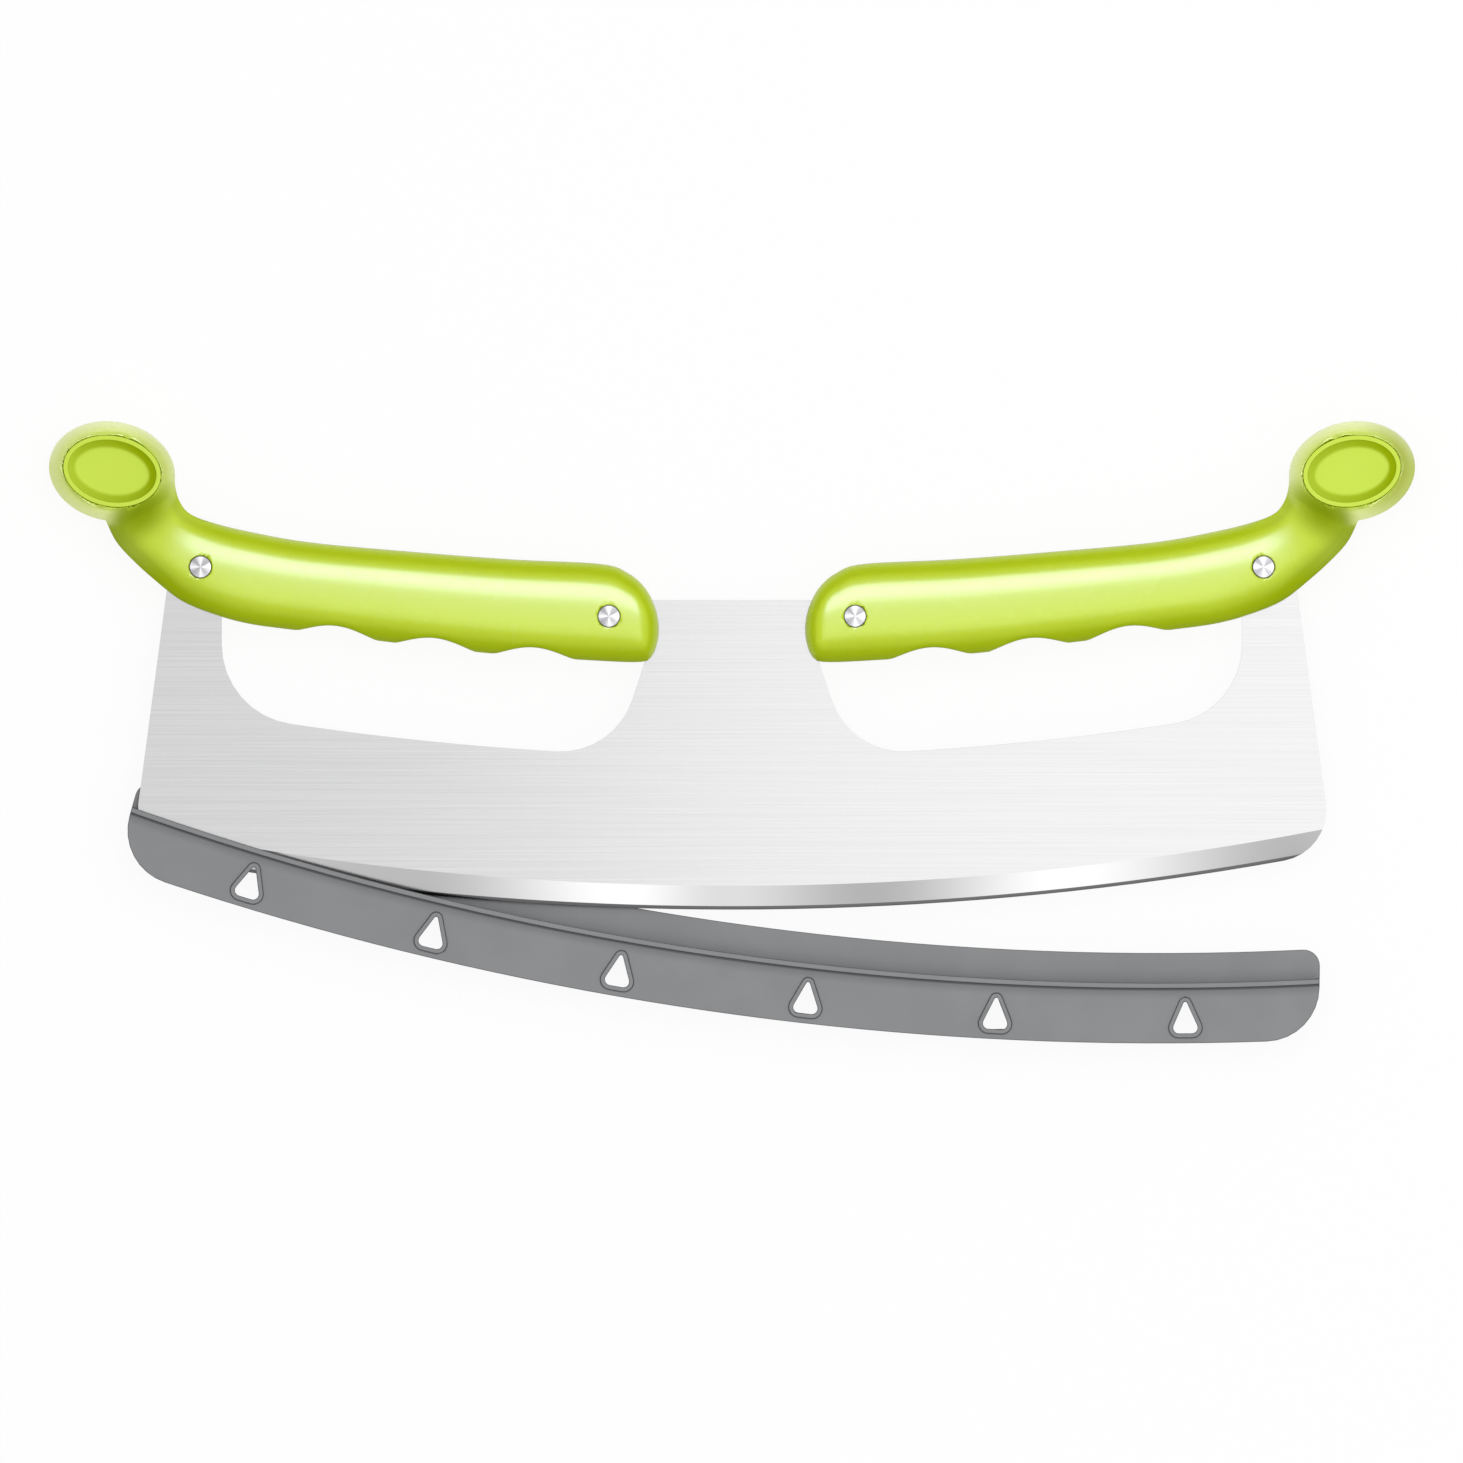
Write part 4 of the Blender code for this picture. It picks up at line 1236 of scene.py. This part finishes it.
@dataclass(frozen=True)
class Handle:
    """A handle: two rounded halves round the tang, with finger grooves, a bent neck and a knob."""

    knob: Knob = Knob()
    rivet: Rivet = Rivet()

    # The outline in millimetres: its inner end, then its upper and its lower edge
    end: Pair = (19.0, -7.3)
    top_end: tuple[Pair, ...] = ((19.9, -2.1), (22.6, 3.2), (27.2, 7.1), (34.3, 9.4))
    top_grip: tuple[Pair, ...] = ((34.3, 9.4), (57.7, 10.6), (83.7, 12.6), (109.7, 15.0), (126.0, 17.9),
                                  (136.0, 20.4))
    top_neck: tuple[Pair, ...] = ((136.0, 20.4), (141.2, 22.6), (143.7, 25.8), (144.7, 29.4))
    low_end: tuple[Pair, ...] = ((19.5, -11.6), (20.9, -14.8), (23.6, -16.1), (34.9, -15.8))
    low_grip: tuple[Pair, ...] = ((34.9, -15.8), (62.7, -13.9), (88.7, -11.0), (113.1, -7.9), (126.0, -6.1),
                                  (136.0, -3.3), (143.5, 0.0))
    low_neck: tuple[Pair, ...] = ((143.5, 0.0), (149.5, 4.7), (155.0, 9.6), (160.0, 15.0))

    # Where the edges meet the knob and end on it, in shares of its oval's size
    upper_join: Pair = (-1.0, -0.12)
    lower_join: Pair = (0.1, -1.0)
    far_point: Pair = (0.54, 0.9)

    # Its thickness, how full its sides are, and the fillet at the knob
    grip_half_thickness: float = 9.4 * MM
    neck_half_thickness: float = 7.4 * MM
    end_round: float = 6.0 * MM
    fullness: float = 2.5
    neck_blend: float = 1.6 * MM

    # The finger grooves, cut straight through the lower edge
    groove_count: int = 3
    groove_start: float = 51.5 * MM
    groove_pitch: float = 25.65 * MM
    groove_width: float = 20.8 * MM
    groove_depth: float = 2.4 * MM
    groove_fullness: float = 1.15
    groove_round: float = 0.8 * MM
    groove_tries: int = 4

    # The line between the halves
    parting_gap: float = 0.12 * MM

    # Rows along the handle's stretches, and steps across it
    end_rungs: int = 14
    grip_rungs: int = 96
    thinning_rungs: int = 14
    neck_rungs: int = 16
    knob_rungs: int = 30
    cross_steps: int = 22

    @staticmethod
    def _points(pairs: Iterable[Pair]) -> list[Vector]:
        """Places in metres from pairs in millimetres."""
        return [Vector(pair) * MM for pair in pairs]

    def _groove_rise(self, x: float) -> float:
        """How far the finger grooves lift the lower edge.

        Args:
            x: Place along the handle.

        Returns:
            The lift.
        """
        rise = 0.0
        for i in range(self.groove_count):
            share = (x - self.groove_start - i * self.groove_pitch) / (self.groove_width / 2)
            if abs(share) < 1:
                rise += self.groove_depth * math.cos(share * math.pi / 2) ** self.groove_fullness
        return rise

    def edges(self) -> tuple[list[Vector], list[Vector]]:
        """The outline as two matched edges.

        Returns:
            The upper and the lower edge, from the handle's inner end to the knob's far side.
        """
        knob = self.knob
        end = self._points([self.end])[0]
        top_end, top_grip, top_neck = map(self._points, (self.top_end, self.top_grip, self.top_neck))
        low_end, low_grip, low_neck = map(self._points, (self.low_end, self.low_grip, self.low_neck))
        size = Vector((knob.half_length, knob.half_width))
        upper_join, lower_join, far = (knob.angle_of(knob.centre + size * Vector(share))
                                       for share in (self.upper_join, self.lower_join, self.far_point))
        upper_far = far - 2 * math.pi if upper_join < 0 else far
        upper_arc, lower_arc = ([knob.oval_point(start + (stop - start) * i / self.knob_rungs, *size)
                                 for i in range(self.knob_rungs + 1)]
                                for start, stop in ((upper_join, upper_far), (lower_join, far)))
        upper = smooth_curve([end, *top_end], self.end_rungs, low_end[0], top_grip[1])
        upper += smooth_curve(top_grip, self.grip_rungs, top_end[-2], top_neck[1])[1:]
        upper += smooth_curve([*top_neck, upper_arc[0]], self.neck_rungs, top_grip[-2])[1:] + upper_arc[1:]
        lower = smooth_curve([end, *low_end], self.end_rungs, top_end[0], low_grip[1])
        lower += smooth_curve(low_grip, self.grip_rungs, low_end[-2], low_neck[1])[1:]
        lower += smooth_curve([*low_neck, lower_arc[0]], self.neck_rungs, low_grip[-2])[1:] + lower_arc[1:]
        return upper, lower

    def height(self, point: Vector, across: float, row: int) -> float:
        """Height of the rounded surface over the middle plane.

        Args:
            point: The place in plan.
            across: Its share of the way from the upper to the lower edge.
            row: Its row along the handle.

        Returns:
            The height.
        """
        knob = self.knob
        grip_end = self.end_rungs + self.grip_rungs
        first_neck, last_neck = grip_end - self.thinning_rungs, grip_end + self.neck_rungs
        thin = smooth_step((row - first_neck) / (last_neck - first_neck))
        body = self.grip_half_thickness + (self.neck_half_thickness - self.grip_half_thickness) * thin
        body *= bulge(1 - abs(2 * across - 1), self.fullness)
        body *= bulge((point.x - self.end[0] * MM) / self.end_round, self.fullness)
        body *= 1 - smooth_step((row - last_neck) / self.knob_rungs)
        edge = (1 - knob.share_of(point)) * knob.half_width / knob.rounding
        top = knob.half_thickness * bulge(edge)
        mix = max(self.neck_blend - abs(body - top), 0.0) / self.neck_blend
        return min(max(body, top) + mix * mix * self.neck_blend / 4, knob.half_thickness)

    def _groove_share(self, top: Vector, low: Vector) -> float:
        """Where a row across the handle meets the finger grooves.

        Args:
            top: The row's end on the upper edge.
            low: Its end on the lower edge, as if there were no grooves.

        Returns:
            The share of the row that the grooves leave.
        """
        share = 1.0
        for _ in range(self.groove_tries):
            share = 1 - self._groove_rise(top.lerp(low, share).x) / (top.y - low.y)
        return share

    def _half_mesh(self, name: str, side: Side, face: Face) -> bpy.types.Mesh:
        """One half of the handle, flat where it meets the other.

        Args:
            name: The half's name.
            side: The knife's end.
            face: The blade's face.

        Returns:
            The closed mesh, still without its pockets and holes.
        """
        upper, lower = self.edges()
        verts = [in_frame(upper[0], side, face, self.parting_gap / 2)]
        for row in range(1, len(upper) - 1):
            in_grip = self.end_rungs < row < self.end_rungs + self.grip_rungs
            left = self._groove_share(upper[row], lower[row]) if in_grip else 1.0
            length = (lower[row] - upper[row]).length
            for i in range(self.cross_steps + 1):
                across = left * (1 - math.cos(math.pi * i / self.cross_steps)) / 2
                point = upper[row].lerp(lower[row], across)
                height = self.height(point, across, row) if 0 < i < self.cross_steps else 0.0
                corner = min(self.groove_round, (1 - left) * length / 2)
                height -= corner * (1 - bulge((left - across) * length / self.groove_round))
                verts.append(in_frame(point, side, face, max(height, self.parting_gap / 2)))
        verts.append(in_frame(upper[-1], side, face, self.parting_gap / 2))
        width, last = self.cross_steps + 1, len(verts) - 1
        start = [1 + width * k for k in range(len(upper) - 2)]
        faces: list[list[int]] = [[0, start[0] + i, start[0] + i + 1] for i in range(self.cross_steps)]
        faces += [[last, start[-1] + i + 1, start[-1] + i] for i in range(self.cross_steps)]
        for a, b in zip(start, start[1:]):
            faces += [[a + i, b + i, b + i + 1, a + i + 1] for i in range(self.cross_steps)]
        faces.append([0, *start, last, *[s + self.cross_steps for s in reversed(start)]])
        return mesh_from(name, verts, faces)

    def _cutters(self, name: str, side: Side, face: Face) -> list[bpy.types.Object]:
        """Solids for the rivets' holes and seats and for the cap's pocket.

        Args:
            name: The half's name.
            side: The knife's end.
            face: The blade's face.

        Returns:
            The solids.
        """
        knob, rivet = self.knob, self.rivet
        reach = 2 * knob.half_thickness
        hole = rivet.pin_radius + rivet.wall + 2 * rivet.gap
        seat = rivet.head_radius + rivet.head_gap
        cutters = []
        for place in Place:
            low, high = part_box(f"rivet_pin_{side.word}_{place.value}")
            at = Vector((abs(low.x + high.x) / 2, (low.y + high.y) / 2 - TOP_EDGE_Y))
            seat_floor = high.z - MID_HEIGHT - rivet.head_thickness - rivet.gap
            for part, radius, floor in (("hole", hole, -reach), ("seat", seat, seat_floor)):
                label = f"{name}_{place.value}_{part}"
                cutters.append(plan_solid(label, circle(at, radius, HOLE_STEPS), side, face, (floor, reach)))
        floor = knob.half_thickness + knob.cap_proud - knob.cap_height - knob.joint_gap
        outline = knob.cap_outline(-knob.joint_gap)
        return [*cutters, plan_solid(f"{name}_cap_pocket", outline, side, face, (floor, reach))]

    def build(self, side: Side, face: Face, blade: Blade, material: bpy.types.Material) -> None:
        """Models one half with its tang pocket, rivet seats and cap pocket, and dresses it.

        Args:
            side: The knife's end.
            face: The blade's face.
            blade: The blade that the tang belongs to.
            material: The green finish.
        """
        name = f"grip_{side.word}_{face.word}"
        half = add_object(name, self._half_mesh(name, side, face))
        carve(half, [blade.cutter(self.rivet.gap), *self._cutters(name, side, face)])
        shade_round(half, MOULDED_EDGE)
        even_normals(half)
        dress(half, material, "knife", "grip_plastic", f"handle_{side.word}_{face.word}")


@dataclass(frozen=True)
class Guard:
    """The loose edge guard, tipped off the edge."""

    edge_round: float = 0.3 * MM
    edge_faces: int = 3
    lip_radius: float = 804.6 * MM
    slide: float = 0.2 * MM

    @property
    def arc_centre(self) -> Vector:
        """The centre that the tipped guard curves about.

        Returns:
            Its place in plan.
        """
        joint = FRAME["record"]["behaviour"]["joints"][0]
        pin = Vector(joint["pos_m"][:2])
        turn = Matrix.Rotation(-math.radians(max(joint["range_deg"])), 2)
        return pin + turn @ (Vector((self.slide, Blade().arc_centre_y)) - pin)

    def build(self, finish: GuardPlastic) -> None:
        """Models the channel with softened edges and dresses it.

        Args:
            finish: The grey plastic.
        """
        channel = merged_copy("blade_guard", "edge_guard", FLAT_JOIN)
        soften_edges(channel, self.edge_round, self.edge_faces)
        dress(channel, finish.material(self), "guard", "guard_plastic", "blade_guard")


@dataclass(frozen=True)
class Softbox:
    """A rectangular softbox that hangs over the table and aims at its middle line."""

    name: str
    at: Point
    size: Pair

    # How bright its face looks, where 1 is white
    radiance: float
    aim_x: float = 0.0
    colour: Colour = WHITE

    # Whether dull surfaces take its light, whether glossy ones mirror it, and on which pieces it shines
    lights: bool = True
    gleams: bool = True
    handles_only: bool = False

    def hang(self, handles: Iterable[bpy.types.Object]) -> None:
        """Puts the lamp in the scene.

        Args:
            handles: The handles' pieces, for a lamp that shines on them alone.
        """
        lamp = bpy.data.lights.new(self.name, "AREA")
        lamp.shape = "RECTANGLE"
        lamp.size, lamp.size_y = self.size
        lamp.energy = self.radiance * math.pi * self.size[0] * self.size[1]
        lamp.color = self.colour
        thing = bpy.data.objects.new(self.name, lamp)
        bpy.context.scene.collection.objects.link(thing)
        thing.location = self.at
        aim = Vector((self.aim_x, 0.0, 0.0)) - Vector(self.at)
        thing.rotation_euler = aim.to_track_quat("-Z", "Y").to_euler()
        thing.visible_diffuse = self.lights
        thing.visible_glossy = self.gleams
        if self.handles_only:
            lit = bpy.data.collections.new(f"{self.name}_lit")
            for piece in handles:
                lit.objects.link(piece)
            thing.light_linking.receiver_collection = lit


@dataclass(frozen=True)
class Studio:
    """The white table, the soft lights and the camera that looks straight down."""

    # 1463 pixels of 0.26 mm
    picture_width: float = 1463 * 0.26 * MM
    picture_centre: Pair = (-0.13 * MM, 0.19 * MM)
    camera_height: float = 1.2
    floor_size: float = 12.0
    floor_paint: Colour = (0.92, 0.92, 0.92)
    shadow_share: float = 0.08
    world_light: float = 0.58
    cool: Colour = (0.74, 0.78, 1.0)

    def _softboxes(self) -> list[Softbox]:
        """The lamps: one over all, two strips that only the handles mirror, and one from the right.

        Returns:
            The four lamps.
        """
        strip = {"colour": self.cool, "lights": False, "handles_only": True}
        return [
            Softbox("front", at=(0.0, 0.2, 1.3), size=(0.8, 0.8), radiance=2.8, gleams=False),
            Softbox("strip", at=(0.0, 0.74, 1.42), size=(1.2, 0.89), radiance=28.0, **strip),
            Softbox("over_strip", at=(0.0, -0.25, 1.58), size=(1.2, 1.22), radiance=6.0, **strip),
            Softbox("right_top", at=(0.66, 0.0, 0.9), size=(1.4, 1.6), radiance=0.46, aim_x=0.66)]

    @staticmethod
    def _seen(graph: Graph) -> Socket:
        """1 where the camera or a mirror sees a surface, 0 where the surface lights another.

        Args:
            graph: The graph that asks.

        Returns:
            The value.
        """
        seen = graph.node("ShaderNodeLightPath", output="Is Camera Ray")
        for kind in ("Is Glossy Ray", "Is Transmission Ray"):
            other = graph.node("ShaderNodeLightPath", output=kind)
            seen = graph.node("ShaderNodeMath", {"operation": "MAXIMUM"}, {0: seen, 1: other})
        return seen

    def _floor(self) -> None:
        """A pale floor that keeps the shadow."""
        half = self.floor_size / 2
        corners = [(-half, -half, 0.0), (half, -half, 0.0), (half, half, 0.0), (-half, half, 0.0)]
        floor = add_object("table", mesh_from("table", corners, [[0, 1, 2, 3]]))
        graph = Graph.of_material("table_white")
        paint = graph.node("ShaderNodeBsdfDiffuse", None, {"Color": (*self.floor_paint, 1.0)})
        glow = graph.node("ShaderNodeEmission", None, {"Color": (*WHITE, 1.0), "Strength": 1.0})
        share = self._seen(graph) * (1 - self.shadow_share)
        mixed = graph.node("ShaderNodeMixShader", None, {0: share, 1: paint, 2: glow})
        floor.data.materials.append(graph.close(mixed))

    def _world(self) -> None:
        """A white surround that lights the object softly."""
        graph = Graph(bpy.data.worlds.new("studio"))
        level = graph.node("ShaderNodeMapRange", None,
                           {"Value": self._seen(graph), "To Min": self.world_light, "To Max": 1.0})
        light = graph.node("ShaderNodeBackground", None, {"Color": (*WHITE, 1.0), "Strength": level})
        bpy.context.scene.world = graph.close(light)

    def _camera(self) -> None:
        """A long lens straight over the knife, framed as in the photograph."""
        lens = bpy.data.cameras.new("camera")
        lens.type = "ORTHO"
        lens.ortho_scale = self.picture_width
        camera = bpy.data.objects.new("camera", lens)
        bpy.context.scene.collection.objects.link(camera)
        camera.location = (*self.picture_centre, self.camera_height)
        bpy.context.scene.camera = camera

    def build(self, handles: Sequence[bpy.types.Object]) -> None:
        """Sets up the floor, the world, the lights and the camera.

        Args:
            handles: The handles' pieces, which gleam in the strip lights.
        """
        self._floor()
        self._world()
        for softbox in self._softboxes():
            softbox.hang(handles)
        self._camera()
        bpy.context.scene.view_settings.view_transform = "Standard"


def main() -> None:
    """Builds every sub-assembly in order and reports each piece."""
    logging.basicConfig(level=logging.INFO, format="%(name)s: %(message)s")
    blade, handle, knob, rivet = Blade(), Handle(), Knob(), Rivet()
    grip_green = LimePlastic("grip_lime_gloss", tones=KnobTones()).material(knob)
    # The caps take painted shade on their dish walls, more on the walls turned away from the upper right
    cap_green = LimePlastic(
        "cap_lime_satin", body=(0.58, 0.75, 0.07), roughness=0.4, lean=(0.02, 0.2), lean_share=0.76,
        wall_share=0.0, under_share=0.0, turn=(0.6, 0.15)).material(knob)
    spun = SpunSteel().material(rivet)
    blade.build(BrushedSteel())
    for side in Side:
        for face in Face:
            handle.build(side, face, blade, grip_green)
            knob.build_cap(side, face, cap_green)
        for place in Place:
            rivet.build(side, place, spun)
    Guard().build(GuardPlastic())
    Studio().build([thing for thing in bpy.data.objects if thing.name.startswith("grip_")])


if __name__ == "__main__":
    main()
